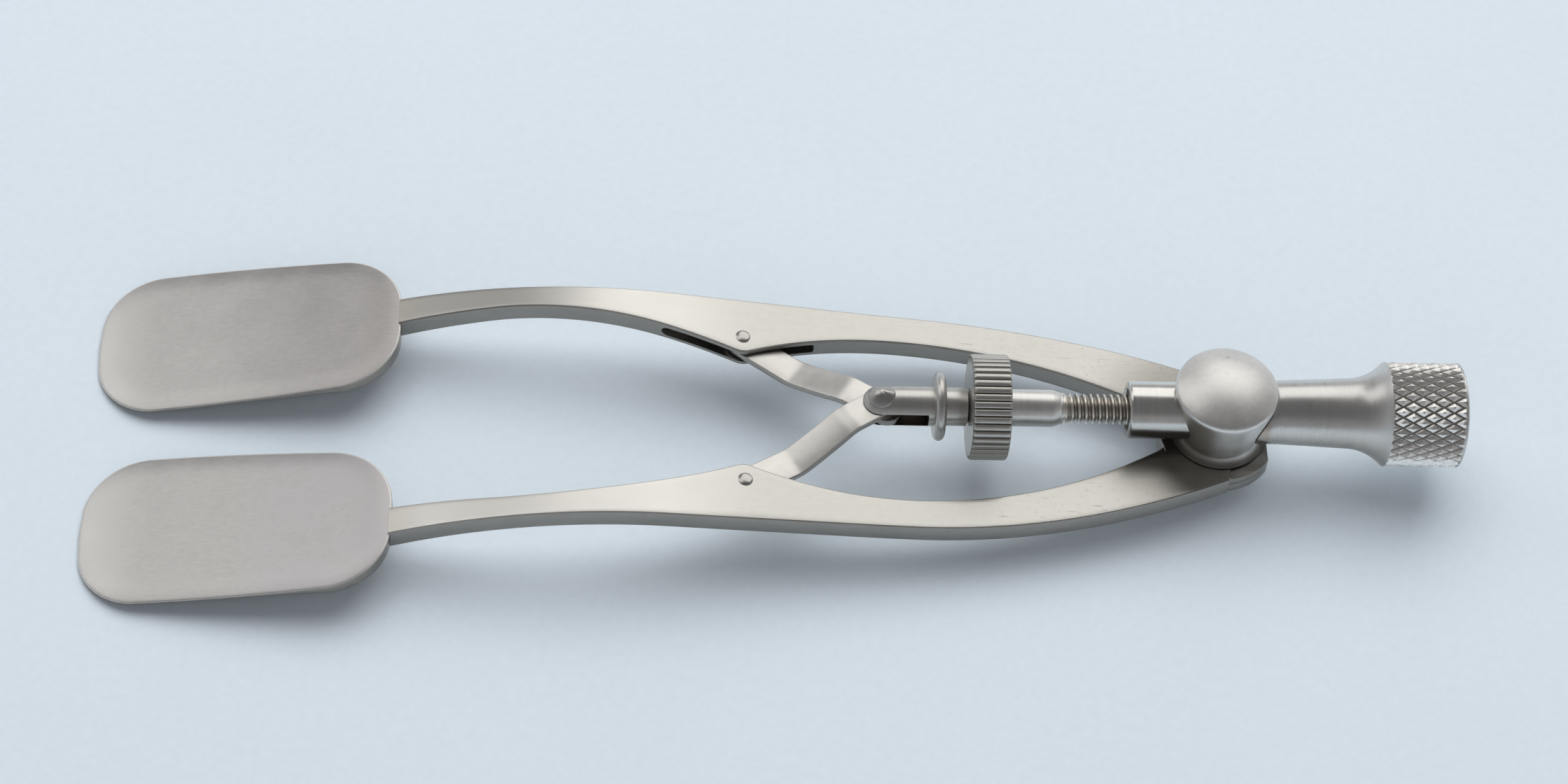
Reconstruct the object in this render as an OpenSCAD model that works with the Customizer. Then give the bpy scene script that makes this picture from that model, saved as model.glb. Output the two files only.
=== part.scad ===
// Screw-adjusted eye speculum with two solid blades, in millimetres.
// Origin: on the table, under the pivot axis. X: blades at -X, handle at +X. Z: up.
// Left is -Y and right is +Y, seen from the handle towards the blades.

/* [Arms] */
// Thickness of the plate each arm is cut from
arm_t = 1.27; // [0.9:0.01:1.8]
// Pivot axis to the brazed end of each arm
arm_reach = 47.85; // [40:0.05:56]
// Centre line to the outer edge at the brazed end
arm_out_front = 8.42; // [7.4:0.01:9.4]
// Centre line to the outer edge where its straight ends
arm_out_rear = 7.58; // [6.6:0.01:8.6]
// Pivot axis to the end of the outer edge's straight
arm_out_rear_x = 18; // [12:0.1:22]
// Radius of the outer edge's rear curve
arm_out_r = 51; // [40:0.5:70]
// Centre line to the inner edge at the brazed end
arm_in_front = 6.62; // [6:0.01:7.4]
// Centre line to the crest of the front hollow
front_crest = 6.8; // [6:0.01:7.4]
// Pivot axis to the crest of the front hollow
front_crest_x = 41.9; // [38:0.1:45]
// Radius of the inner edge between the front hollow and the bulge
front_hollow_r = 36; // [28:0.5:50]
// Centre line to the crest of the rear hollow
rear_crest = 5.64; // [5:0.01:6.4]
// Pivot axis to the crest of the rear hollow
rear_crest_x = 19; // [15:0.1:23]
// Radius of the rear hollow towards the bulge
bulge_side_r = 24; // [18:0.5:34]
// Radius of the rear hollow towards the pivot
pivot_side_r = 30.5; // [24:0.5:44]
// Radius of the bulge's tip, and of the metal round its rivet
bulge_r = 1.1; // [0.9:0.05:1.5]
// Pivot axis to the end of the arm's flat rear
flat_x = 6.9; // [4:0.1:10]
// Radius of the upward bend of the arm in side view
rise_r = 130; // [90:1:200]
// Slope of the arm's straight middle in side view, in degrees
rise_deg = 6.4; // [3:0.1:9]
// Length of the straight middle in side view
rise_run = 10.8; // [6:0.1:16]
// Radius of the downward bow of the arm's front in side view
bow_r = 36.7; // [28:0.1:60]
// How far past the pivot axis the full-height plate runs
plate_past_pivot = 0.4; // [0:0.05:1]

/* [Slots for the links] */
// Height of the slot in the arm's inner side
slot_h = 0.7; // [0.5:0.01:0.8]
// Pivot axis to the slot's front end
slot_front_x = 32.6; // [30:0.1:36]
// Pivot axis to the slot's rear end
slot_rear_x = 23.6; // [20:0.1:26]
// Metal-free depth of the slot behind the rivet axis
slot_behind = 1.15; // [1:0.01:1.4]
// Radius of the level pocket that lets the link turn in the sloping slot
pocket_r = 2.7; // [2:0.1:2.8]
// Clearance above and below the link in the pocket
pocket_gap = 0.04; // [0.03:0.01:0.06]

/* [Blades] */
// Length of each blade from its brazed end, in plan
blade_len = 17.8; // [14:0.1:22]
// Centre line to the blade's outer side
blade_out = 11.7; // [9:0.1:14]
// Centre line to the blade's inner side at the tip corner
blade_in_tip = 1.75; // [1.3:0.05:3]
// Centre line to the blade's inner side at the root corner
blade_in_root = 2.3; // [1.5:0.05:3.5]
// Corner radius, outer root
root_out_r = 3.8; // [2:0.1:4.5]
// Corner radius, inner root
root_in_r = 3.9; // [2:0.1:4.5]
// Corner radius, inner tip
tip_in_r = 3.7; // [2:0.1:4.5]
// Corner radius, outer tip
tip_out_r = 3.7; // [2:0.1:4.5]
// Downward tilt of the blade's top towards the tip, in degrees
blade_tilt = 9.7; // [5:0.1:15]
// Thickness of the blade at its root
blade_root_t = 1.25; // [0.8:0.01:1.6]
// Thickness of the blade's front part
blade_tip_t = 0.36; // [0.25:0.01:0.8]
// Length over which the blade thins
blade_taper = 10.5; // [5:0.1:15]

/* [Pivot] */
// Radius of both arms' eyes
eye_r = 3.46; // [3.1:0.01:3.6]
// Pivot axis to the flat rear end of both eyes
eye_end_x = 2.85; // [2.8:0.05:3.2]
// Thickness of the left arm's eye, which lies on the right one
top_eye_t = 0.62; // [0.5:0.01:0.75]
// Clearance between an eye and the shoulder cut in the other arm
lap_gap = 0.05; // [0.03:0.01:0.1]
// Depth of the step in the top of the left arm's eye
eye_step = 0.12; // [0.05:0.01:0.2]
// How far behind the pivot axis that step starts
eye_step_x = 0.5; // [0:0.05:1.5]
// Radius of the post at its foot
post_foot_r = 2.8; // [2.5:0.05:3.1]
// Height of the straight edge of the foot
post_foot_h = 0.06; // [0.02:0.01:0.2]
// Radius of the post at its waist
post_waist_r = 2.4; // [2.1:0.05:2.7]
// Height over which the foot flares out
post_flare_h = 0.5; // [0.2:0.05:0.9]
// Radius of the post at its rim
post_rim_r = 3.04; // [2.6:0.01:3.6]
// Height of the post's rim above the arms' flat top
post_rim_h = 4.07; // [3.8:0.01:5]
// Height of the dome above the rim
dome_h = 0.85; // [0.4:0.05:1.4]
// Radius of the post's shank, which the arms turn on
shank_r = 1.1; // [0.8:0.05:1.5]
// Radius of the washer under the arms
washer_r = 1.95; // [1.6:0.05:2.6]
// Thickness of the washer
washer_t = 0.12; // [0.08:0.01:0.3]
// Radius of the round nut that carries the pivot on the table
nut_r = 1.85; // [1.5:0.05:2.4]
// Edge bevel of the nut
nut_bevel = 0.15; // [0.05:0.01:0.3]

/* [Screw] */
// Height of the screw axis above the arms' flat top
axis_h = 1.9; // [1.85:0.01:2.4]
// Pitch of the thread
pitch = 0.4; // [0.25:0.05:0.5]
// Crest radius of the thread
thread_r = 0.88; // [0.7:0.01:1]
// Root radius of the thread
thread_root_r = 0.67; // [0.5:0.01:0.8]
// Pivot axis to the start of the thread
thread_front_x = 9.4; // [8.8:0.1:11]
// Turns of the modelled thread
thread_turns = 22; // [12:1:24]
// How far the plain tail of the rod runs past the pivot axis
thread_tail_x = 1; // [0:0.1:2]
// Radius of the smooth spindle
spindle_r = 1.08; // [0.95:0.01:1.3]
// Length of the spindle's taper before the thread
spindle_taper = 0.5; // [0.2:0.05:1]
// Radius of the journal that turns in the yoke
journal_r = 0.34; // [0.25:0.01:0.4]
// Depth of the hole in the spindle that takes the threaded rod
rod_hold = 2.2; // [1:0.1:4]
// Outer radius of the collar on the journal's end
collar_r = 0.46; // [0.4:0.01:0.5]
// Length of the collar
collar_len = 0.34; // [0.2:0.02:0.5]

/* [Thumb wheel] */
// Radius of the wheel over its ridges
wheel_r = 3.07; // [2.6:0.01:3.6]
// Width of the wheel
wheel_w = 2.2; // [1.6:0.05:3]
// Ridges round the wheel
wheel_ridges = 42; // [30:2:54]
// Depth of the grooves between the ridges
groove = 0.14; // [0.08:0.01:0.2]
// Edge bevel of the wheel
wheel_bevel = 0.14; // [0.05:0.01:0.3]

/* [Yoke] */
// Pivot axis to the yoke pin
pin_x = 19.95; // [18:0.05:22]
// Radius of the yoke's round rod
yoke_r = 1.15; // [1:0.01:1.4]
// Radius of the neck behind the flange
neck_r = 1.12; // [0.9:0.01:1.15]
// Height of the fork's slot
fork_h = 1; // [0.96:0.01:1.1]
// Pivot axis to the bottom of the fork's slot
fork_end_x = 17.2; // [17:0.05:18]
// Pivot axis to the flange's front face
flange_x = 16.88; // [16:0.05:18]
// Width of the flange
flange_w = 0.64; // [0.4:0.02:0.9]
// Radius of the flange
flange_r = 2; // [1.6:0.05:2.4]
// Pivot axis to the rear end of the neck
neck_end_x = 14.92; // [14.5:0.01:15.5]
// Radius of the pin through the fork
pin_r = 0.4; // [0.3:0.01:0.5]

/* [Links] */
// Width of a link
link_w = 1.85; // [1.4:0.05:2.2]
// Thickness of a link
link_t = 0.42; // [0.3:0.01:0.45]
// How far the link runs past the yoke pin
link_past_pin = 1.35; // [0.95:0.05:1.4]
// How far the link runs past its rivet
link_past_rivet = 0.93; // [0.93:0.01:1.1]
// Rivet axis to the first bend
bend_a = 3.5; // [3:0.1:4]
// Rivet axis to the second bend
bend_b = 7.1; // [6:0.1:7.4]
// Radius of the rivet's shank
rivet_r = 0.3; // [0.25:0.01:0.4]
// Radius of the rivet's heads
rivet_head_r = 0.45; // [0.4:0.01:0.6]
// Height of the rivet's domed heads
rivet_dome = 0.16; // [0.08:0.01:0.3]
// Sink of the rivet heads' seats
rivet_seat = 0.1; // [0.06:0.01:0.15]

/* [Sleeve and handle] */
// Radius of the sleeve
sleeve_r = 1.67; // [1.4:0.01:1.8]
// Pivot axis to the mouth of the sleeve
sleeve_x = 5.6; // [4.8:0.05:6.4]
// Edge rounding of the sleeve's mouth
sleeve_round = 0.3; // [0.1:0.01:0.4]
// Radius of the sleeve's bore
sleeve_bore_r = 1.2; // [1.1:0.01:1.3]
// Pivot axis to the sleeve's shoulder inside the post
shoulder_x = 2; // [1.5:0.1:2.4]
// Radius of the sleeve's spigot that carries the handle
spigot_r = 1.4; // [1.35:0.01:1.5]
// Pivot axis to the end of the spigot
spigot_x = 5; // [4:0.1:6]
// Recess of the threaded bush behind the sleeve's mouth
bush_sink = 0.25; // [0.1:0.01:0.5]
// Length of the threaded bush
bush_len = 3.6; // [2:0.1:4.5]
// Pivot axis to the end of the collar between post and handle
collar_end_x = 3.33; // [3.2:0.01:4]
// Radius of the collar, and of the handle where it starts
stem_r = 1.87; // [1.7:0.01:2.1]
// Radius of the handle before its flare
stem_end_r = 2.05; // [1.8:0.01:2.4]
// Pivot axis to the start of the flare
flare_x = 7.2; // [6:0.1:8.5]
// Radius of the knob
knob_r = 3.07; // [2.6:0.01:3.6]
// Pivot axis to the front of the knurl
knob_x = 9.45; // [9:0.05:11]
// Length of the knurled part
knob_len = 4.4; // [3:0.05:5.5]
// Edge bevel at the rear of the knob
knob_bevel = 0.1; // [0.1:0.01:0.4]
// Radius of the smooth cap that closes the handle
cap_r = 2.9; // [2:0.05:2.95]
// Height of the cap's dome
cap_dome = 0.5; // [0.2:0.05:0.8]
// Depth of the cap's plug in the handle
cap_plug = 1.2; // [0.6:0.1:2]
// Radius of the cap's plug
cap_plug_r = 1.6; // [1.2:0.05:2]

/* [Fits] */
// Radial clearance of everything that turns or slides
run_gap = 0.03; // [0.01:0.01:0.08]
// Gap between faces that slide on each other
face_gap = 0.03; // [0.02:0.01:0.06]
// Radial clearance of parts that are fixed together
fixed_gap = 0.01; // [0.005:0.005:0.02]
// Gap between the handle's hollowed end and the post
cope_gap = 0.05; // [0.02:0.01:0.1]
// Radial clearance of the link's outer eye on its rivet, the opened pivot
open_gap = 0.16; // [0.14:0.01:0.2]
// Clearance of the thread in its bush
thread_gap = 0.04; // [0.02:0.01:0.08]

/* [Hidden] */
$fn = 96;
thread_segments = 24;
thread_rings = 4;

// Cutting tools reach this far past what they cut
over = 1;
wide = 40;
hair = 0.002;

// Side view of the arms, measured up from the flat rear's top
rise_end = [-flat_x - rise_r * sin(rise_deg), rise_r * (1 - cos(rise_deg))];
bow_start = rise_end + rise_run * [-cos(rise_deg), sin(rise_deg)];
bow_centre = bow_start - bow_r * [sin(rise_deg), cos(rise_deg)];
function bow_top(x) = bow_centre[1] + sqrt(bow_r * bow_r - pow(x - bow_centre[0], 2));
function straight_top(x) = rise_end[1] + (rise_end[0] - x) * tan(rise_deg);

// The blade's tip edge touches the table, which sets the height of the arms
blade_drop = blade_len * tan(blade_tilt) + blade_tip_t / cos(blade_tilt);
arm_z = blade_drop - bow_top(-arm_reach);
axis_z = arm_z + axis_h;

// Plan of the arms
out_tilt = atan2(arm_out_front - arm_out_rear, arm_reach - arm_out_rear_x);
out_centre = [-arm_out_rear_x - arm_out_r * sin(out_tilt), arm_out_rear - arm_out_r * cos(out_tilt)];
front_centre = [-front_crest_x, front_crest - front_hollow_r];
bulge_side_centre = [-rear_crest_x, rear_crest - bulge_side_r];
pivot_side_centre = [-rear_crest_x, rear_crest - pivot_side_r];

// The rivet is the centre of the bulge's tip, which touches both hollows
hollow_line = front_centre - bulge_side_centre;
hollow_gap = norm(hollow_line);
to_front = front_hollow_r + bulge_r;
to_rear = bulge_side_r + bulge_r;
along = (to_rear * to_rear - to_front * to_front + hollow_gap * hollow_gap) / (2 * hollow_gap);
across = sqrt(to_rear * to_rear - along * along);
hollow_dir = hollow_line / hollow_gap;
rivet = bulge_side_centre + along * hollow_dir + across * [hollow_dir[1], -hollow_dir[0]];
tip_front = front_centre + front_hollow_r / to_front * (rivet - front_centre);
tip_rear = bulge_side_centre + bulge_side_r / to_rear * (rivet - bulge_side_centre);
rivet_top = arm_z + straight_top(rivet[0]);
rivet_bottom = rivet_top - arm_t / cos(rise_deg);
slot_mid = (rivet_top + rivet_bottom) / 2;

// Links, laid out from the yoke pin towards the rivet
link_vector = rivet + [pin_x, 0];
link_len = norm(link_vector);
link_turn = atan2(link_vector[1], -link_vector[0]);
left_link_z = axis_z + (link_t + face_gap) / 2;
right_link_z = axis_z - (link_t + face_gap) / 2;

// Blades
blade_corners = [
    [-arm_reach - root_out_r, blade_out - root_out_r, root_out_r],
    [-arm_reach - root_in_r, blade_in_root + root_in_r, root_in_r],
    [-arm_reach - blade_len + tip_in_r, blade_in_tip + tip_in_r, tip_in_r],
    [-arm_reach - blade_len + tip_out_r, blade_out - tip_out_r, tip_out_r]];
blade_thin = blade_root_t - blade_tip_t;
blade_under_r = (blade_taper * blade_taper + blade_thin * blade_thin) / (2 * blade_thin);

// Pivot
eye_split = arm_z - top_eye_t;
low_eye_top = eye_split - face_gap;
low_eye_bottom = arm_z - arm_t;
washer_top = low_eye_bottom - face_gap;
nut_top = washer_top - washer_t;
post_foot_z = arm_z + face_gap;
post_flare_z = post_foot_z + post_foot_h + post_flare_h;
post_rim_z = arm_z + post_rim_h;
flare_out = post_foot_r - post_waist_r;
foot_curve_r = (post_flare_h * post_flare_h + flare_out * flare_out) / (2 * flare_out);

// Screw
wheel_front_x = neck_end_x - 0.12;
wheel_rear_x = wheel_front_x - wheel_w;
collar_front_x = fork_end_x + face_gap + collar_len;
flare_r = (pow(knob_x - flare_x, 2) + pow(knob_r - stem_end_r, 2)) / (2 * (knob_r - stem_end_r));
knob_end_x = knob_x + knob_len;

// A round bar along X, between two places on the screw axis
module bar_x(r, from, to, r_end = -1) {
    translate([from, 0, axis_z])
        rotate([0, 90, 0])
            cylinder(h = to - from, r1 = r, r2 = r_end < 0 ? r : r_end);
}

// A profile drawn as [x, radius], turned about the screw axis
module turned_x() {
    translate([0, 0, axis_z])
        rotate([0, 90, 0])
            rotate_extrude()
                children();
}

// A side view drawn as [x, height above the arms' flat top], made solid across Y
module side_solid() {
    translate([0, wide / 2, arm_z])
        rotate([90, 0, 0])
            linear_extrude(wide)
                children();
}

// Everything lower than a depth under the arm's curved top
module under_top(depth, more) {
    up = [sin(rise_deg), cos(rise_deg)];
    left = -arm_reach - 2 * over - more;
    line_end = rise_end[1] + (rise_end[0] - left) * tan(rise_deg);
    difference() {
        polygon([[eye_r + over + more, -depth], [-flat_x, -depth], rise_end - depth * up,
            bow_start - depth * up, [left, line_end - depth / cos(rise_deg)],
            [left, -arm_t - over - more], [eye_r + over + more, -arm_t - over - more]]);
        translate([-flat_x, rise_r])
            circle(rise_r + depth, $fn = 360);
        difference() {
            polygon([bow_centre, bow_start + over * up, [left - over, wide], [left - over, bow_centre[1]]]);
            translate(bow_centre)
                circle(bow_r - depth, $fn = 360);
        }
    }
}

// The band between two depths under the arm's curved top
module arm_band(depth, thick) {
    difference() {
        under_top(depth, 0);
        under_top(depth + thick, over);
    }
}

// Plan of the right arm's full-height plate
module arm_plan() {
    difference() {
        polygon([[-arm_reach, 0], [-arm_reach, arm_out_front], [-arm_out_rear_x, arm_out_rear],
            [plate_past_pivot, arm_out_rear - (arm_out_rear_x + plate_past_pivot) * tan(out_tilt)],
            [plate_past_pivot, 0]]);
        difference() {
            polygon([out_centre, [-arm_out_rear_x, arm_out_rear] + over * [sin(out_tilt), cos(out_tilt)],
                [wide, wide], [wide, out_centre[1]]]);
            translate(out_centre)
                circle(arm_out_r, $fn = 360);
        }
        polygon([[-arm_reach - over, -over], [-arm_reach - over, arm_in_front],
            [-arm_reach, arm_in_front], [-front_crest_x, front_crest], [-front_crest_x, -over]]);
        translate(front_centre)
            circle(front_hollow_r, $fn = 360);
        translate(bulge_side_centre)
            circle(bulge_side_r, $fn = 360);
        intersection() {
            translate(pivot_side_centre)
                circle(pivot_side_r, $fn = 360);
            translate([-rear_crest_x, -over])
                square([rear_crest_x + over, wide]);
        }
        difference() {
            polygon([rivet, tip_front, [tip_front[0], 0], [tip_rear[0], 0], tip_rear]);
            translate(rivet)
                circle(bulge_r);
        }
    }
}

// Slot, pocket and rivet holes, cut from the right arm
module link_room() {
    intersection() {
        side_solid()
            arm_band((arm_t - slot_h) / 2, slot_h);
        translate([-slot_front_x, 0, 0])
            cube([slot_front_x - slot_rear_x, rivet[1] + slot_behind, wide]);
    }
    intersection() {
        translate([rivet[0], rivet[1], slot_mid - link_t / 2 - pocket_gap])
            cylinder(h = link_t + 2 * pocket_gap, r = pocket_r);
        translate([-slot_front_x, 0, 0])
            cube([slot_front_x - slot_rear_x, rivet[1] + slot_behind, wide]);
    }
    translate([rivet[0], rivet[1], 0])
        cylinder(h = wide, r = rivet_r + fixed_gap);
    translate([rivet[0], rivet[1], rivet_top - rivet_seat])
        cylinder(h = wide, r = rivet_head_r + fixed_gap);
    translate([rivet[0], rivet[1], rivet_bottom + rivet_seat - wide])
        cylinder(h = wide, r = rivet_head_r + fixed_gap);
}

// The full-height plate of either arm, drawn as the right one
module arm_plate() {
    difference() {
        intersection() {
            side_solid()
                arm_band(0, arm_t);
            linear_extrude(wide)
                arm_plan();
        }
        link_room();
    }
}

module left_arm() {
    color("silver")
        mirror([0, 1, 0])
            difference() {
                union() {
                    arm_plate();
                    translate([0, 0, eye_split])
                        cylinder(h = top_eye_t, r = eye_r);
                }
                translate([0, 0, eye_split - wide])
                    cylinder(h = wide, r = eye_r + lap_gap);
                translate([eye_step_x, -wide / 2, arm_z - eye_step])
                    cube(wide);
                translate([eye_end_x, -wide / 2, -over])
                    cube(wide);
                translate([0, 0, -over])
                    cylinder(h = wide, r = shank_r + run_gap);
            }
}

module right_arm() {
    color("silver")
        difference() {
            union() {
                arm_plate();
                translate([0, 0, low_eye_bottom])
                    cylinder(h = low_eye_top - low_eye_bottom, r = eye_r);
            }
            translate([0, 0, low_eye_top])
                cylinder(h = wide, r = eye_r + lap_gap);
            translate([eye_end_x, -wide / 2, -over])
                cube(wide);
            translate([0, 0, -over])
                cylinder(h = wide, r = shank_r + run_gap);
        }
}

// Outward angle of the side between two corner circles of the blade
function side_angle(a, b) =
    atan2(b[1] - a[1], b[0] - a[0])
    + acos((a[2] - b[2]) / norm([b[0] - a[0], b[1] - a[1]]));
function way(angle) = [cos(angle), sin(angle)];
function middle(c) = [c[0], c[1]];

// Four straight sides, with each corner cut back to its circle. The sides lie a hair inside
// the circles, so that each arc crosses its sides instead of just touching them.
module blade_plan() {
    c = blade_corners;
    before = [for (i = [0:3]) side_angle(c[(i + 3) % 4], c[i])];
    after = [for (i = [0:3]) side_angle(c[i], c[(i + 1) % 4])];
    turn = [for (i = [0:3]) (before[i] - after[i] + 720) % 360];
    between = before - turn / 2;
    difference() {
        polygon([for (i = [0:3])
            middle(c[i]) + (c[i][2] - hair) / cos(turn[i] / 2) * way(between[i])]);
        for (i = [0:3])
            difference() {
                polygon([middle(c[i]), middle(c[i]) + 2 * c[i][2] * way(before[i]),
                    middle(c[i]) + 3 * c[i][2] * way(between[i]),
                    middle(c[i]) + 2 * c[i][2] * way(after[i])]);
                translate(middle(c[i]))
                    circle(c[i][2]);
            }
    }
}

// The right blade, whose thickness falls along an arc from its root
module blade() {
    intersection() {
        linear_extrude(wide)
            blade_plan();
        translate([-arm_reach, wide / 2, arm_z + bow_top(-arm_reach)])
            rotate([0, -blade_tilt, 0])
                rotate([90, 0, 0])
                    linear_extrude(wide) {
                        translate([-blade_len - 2 * over, -blade_tip_t])
                            square([blade_len + 2 * over - blade_taper, blade_tip_t]);
                        difference() {
                            translate([-blade_taper, -blade_root_t - over])
                                square([blade_taper + over, blade_root_t + over]);
                            translate([-blade_taper, -blade_tip_t - blade_under_r])
                                circle(blade_under_r, $fn = 360);
                        }
                    }
    }
}

module left_blade() {
    color("lightgray")
        mirror([0, 1, 0])
            blade();
}

module right_blade() {
    color("lightgray")
        blade();
}

// A shallow dome on a flat round base
module dome(r, h) {
    ball = (r * r + h * h) / (2 * h);
    intersection() {
        translate([0, 0, h - ball])
            sphere(ball);
        cylinder(h = h + over, r = r + over);
    }
}

module rivet_head() {
    cylinder(h = rivet_seat, r = rivet_head_r);
    translate([0, 0, rivet_seat])
        dome(rivet_head_r, rivet_dome);
}

module rivet_at(side) {
    translate([rivet[0], side * rivet[1], 0]) {
        translate([0, 0, rivet_bottom])
            cylinder(h = rivet_top - rivet_bottom, r = rivet_r);
        translate([0, 0, rivet_top - rivet_seat])
            rivet_head();
        translate([0, 0, rivet_bottom + rivet_seat])
            mirror([0, 0, 1])
                rivet_head();
    }
}

module left_rivet() {
    color("gainsboro")
        rivet_at(-1);
}

module right_rivet() {
    color("gainsboro")
        rivet_at(1);
}

// A link drawn from the yoke pin at the origin towards -X, bent down to the arm's slot
module link(high, low) {
    end_r = link_w / 2;
    start = link_past_pin - end_r;
    outer = link_len - bend_a;
    inner = link_len - bend_b;
    difference() {
        intersection() {
            linear_extrude(wide) {
                translate([-link_len, -end_r])
                    square([link_len + start, link_w]);
                translate([start, 0])
                    circle(end_r);
                translate([-link_len, 0])
                    circle(link_past_rivet);
            }
            translate([0, wide / 2, 0])
                rotate([90, 0, 0])
                    linear_extrude(wide)
                        polygon([
                            [over + link_past_pin, high - link_t / 2],
                            [over + link_past_pin, high + link_t / 2],
                            [-inner, high + link_t / 2],
                            [-outer, low + link_t / 2],
                            [-link_len - over, low + link_t / 2],
                            [-link_len - over, low - link_t / 2],
                            [-outer, low - link_t / 2],
                            [-inner, high - link_t / 2]]);
        }
        cylinder(h = wide, r = pin_r + run_gap);
        translate([-link_len, 0, 0])
            cylinder(h = wide, r = rivet_r + open_gap);
    }
}

module left_link() {
    color("gray")
        translate([-pin_x, 0, 0])
            rotate([0, 0, link_turn])
                link(left_link_z, slot_mid);
}

module right_link() {
    color("gray")
        translate([-pin_x, 0, 0])
            rotate([0, 0, -link_turn])
                link(right_link_z, slot_mid);
}

module yoke() {
    color("silver")
        difference() {
            union() {
                translate([-pin_x, 0, axis_z])
                    sphere(yoke_r);
                bar_x(yoke_r, -pin_x, -flange_x + flange_w / 2);
                bar_x(neck_r, -flange_x + flange_w / 2, -neck_end_x);
                bar_x(flange_r - flange_w / 2, -flange_x, -flange_x + flange_w);
                turned_x()
                    translate([flange_r - flange_w / 2, -flange_x + flange_w / 2])
                        circle(flange_w / 2);
            }
            translate([-pin_x - wide, -wide / 2, axis_z - fork_h / 2])
                cube([wide + pin_x - fork_end_x, wide, fork_h]);
            bar_x(journal_r + run_gap, -pin_x, -neck_end_x + over);
            translate([-pin_x, 0, 0])
                cylinder(h = wide, r = pin_r + fixed_gap);
        }
}

module yoke_pin() {
    color("gainsboro")
        intersection() {
            translate([-pin_x, 0, axis_z - yoke_r])
                cylinder(h = 2 * yoke_r, r = pin_r);
            translate([-pin_x, 0, axis_z])
                sphere(yoke_r);
        }
}

module journal_collar() {
    color("gainsboro")
        difference() {
            bar_x(collar_r, -collar_front_x, -collar_front_x + collar_len);
            bar_x(journal_r + fixed_gap, -collar_front_x - over, -collar_front_x + collar_len + over);
        }
}

module thumb_wheel() {
    step = 360 / wheel_ridges;
    color("silver")
        difference() {
            intersection() {
                translate([-wheel_front_x, 0, axis_z])
                    rotate([0, 90, 0])
                        linear_extrude(wheel_w)
                            polygon([for (i = [0:wheel_ridges - 1], part = [0:3])
                                let (r = part < 2 ? wheel_r : wheel_r - groove,
                                    at = [0, 0.3, 0.5, 0.8][part])
                                r * [cos((i + at) * step), sin((i + at) * step)]]);
                union() {
                    bar_x(wheel_r - wheel_bevel, -wheel_front_x, -wheel_front_x + 2 * wheel_bevel,
                        wheel_r + wheel_bevel);
                    bar_x(wheel_r + wheel_bevel, -wheel_front_x + 2 * wheel_bevel,
                        -wheel_rear_x - 2 * wheel_bevel);
                    bar_x(wheel_r + wheel_bevel, -wheel_rear_x - 2 * wheel_bevel, -wheel_rear_x,
                        wheel_r - wheel_bevel);
                }
            }
            bar_x(spindle_r + fixed_gap, -wheel_front_x - over, -wheel_rear_x + over);
        }
}

module screw_spindle() {
    color("silver")
        difference() {
            union() {
                bar_x(journal_r, -collar_front_x, -wheel_front_x);
                bar_x(spindle_r, -wheel_front_x, -thread_front_x - spindle_taper);
                bar_x(spindle_r, -thread_front_x - spindle_taper, -thread_front_x, thread_r);
            }
            bar_x(thread_root_r + fixed_gap, -thread_front_x - rod_hold, -thread_front_x + over);
        }
}

// Radius of the thread at a fraction of its pitch
function thread_at(f) = thread_root_r + (thread_r - thread_root_r) * (1 - abs(2 * f - 1));

// The threaded rod is one closed skin: a plain end, rings along the thread, a plain tail
module screw_thread() {
    last = thread_turns * thread_rings + 2;
    steps = thread_segments;
    points = [for (i = [0:last], j = [0:steps - 1])
        let (turn = (i - 1) / thread_rings - j / steps,
            plain = i < 2 || i > last - 2,
            x = i == 0 ? -rod_hold
                : i == last ? thread_front_x + thread_tail_x : (i - 1) * pitch / thread_rings,
            r = plain ? thread_root_r : thread_at(turn - floor(turn)),
            angle = 360 * j / steps)
        [x, r * cos(angle), r * sin(angle)]];
    sides = [for (i = [0:last - 1], j = [0:steps - 1], half = [0, 1])
        let (a = i * steps + j, b = i * steps + (j + 1) % steps, c = a + steps, d = b + steps)
        half == 0 ? [a, c, b] : [b, c, d]];
    front = [[for (j = [0:steps - 1]) j]];
    back = [[for (j = [0:steps - 1]) last * steps + steps - 1 - j]];
    color("darkgray")
        translate([-thread_front_x, 0, axis_z])
            polyhedron(points = points, faces = concat(front, sides, back));
}

module sleeve() {
    flat = sleeve_r - sleeve_round;
    color("silver")
        difference() {
            union() {
                bar_x(flat, -sleeve_x, -sleeve_x + sleeve_round);
                turned_x()
                    translate([flat, -sleeve_x + sleeve_round])
                        circle(sleeve_round);
                bar_x(sleeve_r, -sleeve_x + sleeve_round, shoulder_x);
                bar_x(spigot_r, shoulder_x, spigot_x);
            }
            bar_x(sleeve_bore_r, -sleeve_x - over, spigot_x + over);
        }
}

module thread_bush() {
    color("darkgray")
        difference() {
            bar_x(sleeve_bore_r - fixed_gap, -sleeve_x + bush_sink, -sleeve_x + bush_sink + bush_len);
            bar_x(thread_r + thread_gap, -sleeve_x, bush_len);
        }
}

// The post's outside up to its rim, or a cutter that clears it by a gap
module post_body(gap) {
    translate([0, 0, post_flare_z])
        cylinder(h = post_rim_z - post_flare_z, r1 = post_waist_r + gap, r2 = post_rim_r + gap);
    rotate_extrude()
        difference() {
            translate([0, post_foot_z])
                square([post_foot_r + gap, post_flare_z - post_foot_z]);
            translate([post_waist_r + gap + foot_curve_r, post_flare_z])
                circle(foot_curve_r);
        }
}

module pivot_post() {
    color("silver")
        difference() {
            union() {
                post_body(0);
                translate([0, 0, post_rim_z])
                    dome(post_rim_r, dome_h);
                cylinder(h = post_foot_z, r = shank_r);
            }
            bar_x(sleeve_r + fixed_gap, -post_rim_r - over, post_rim_r + over);
        }
}

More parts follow.
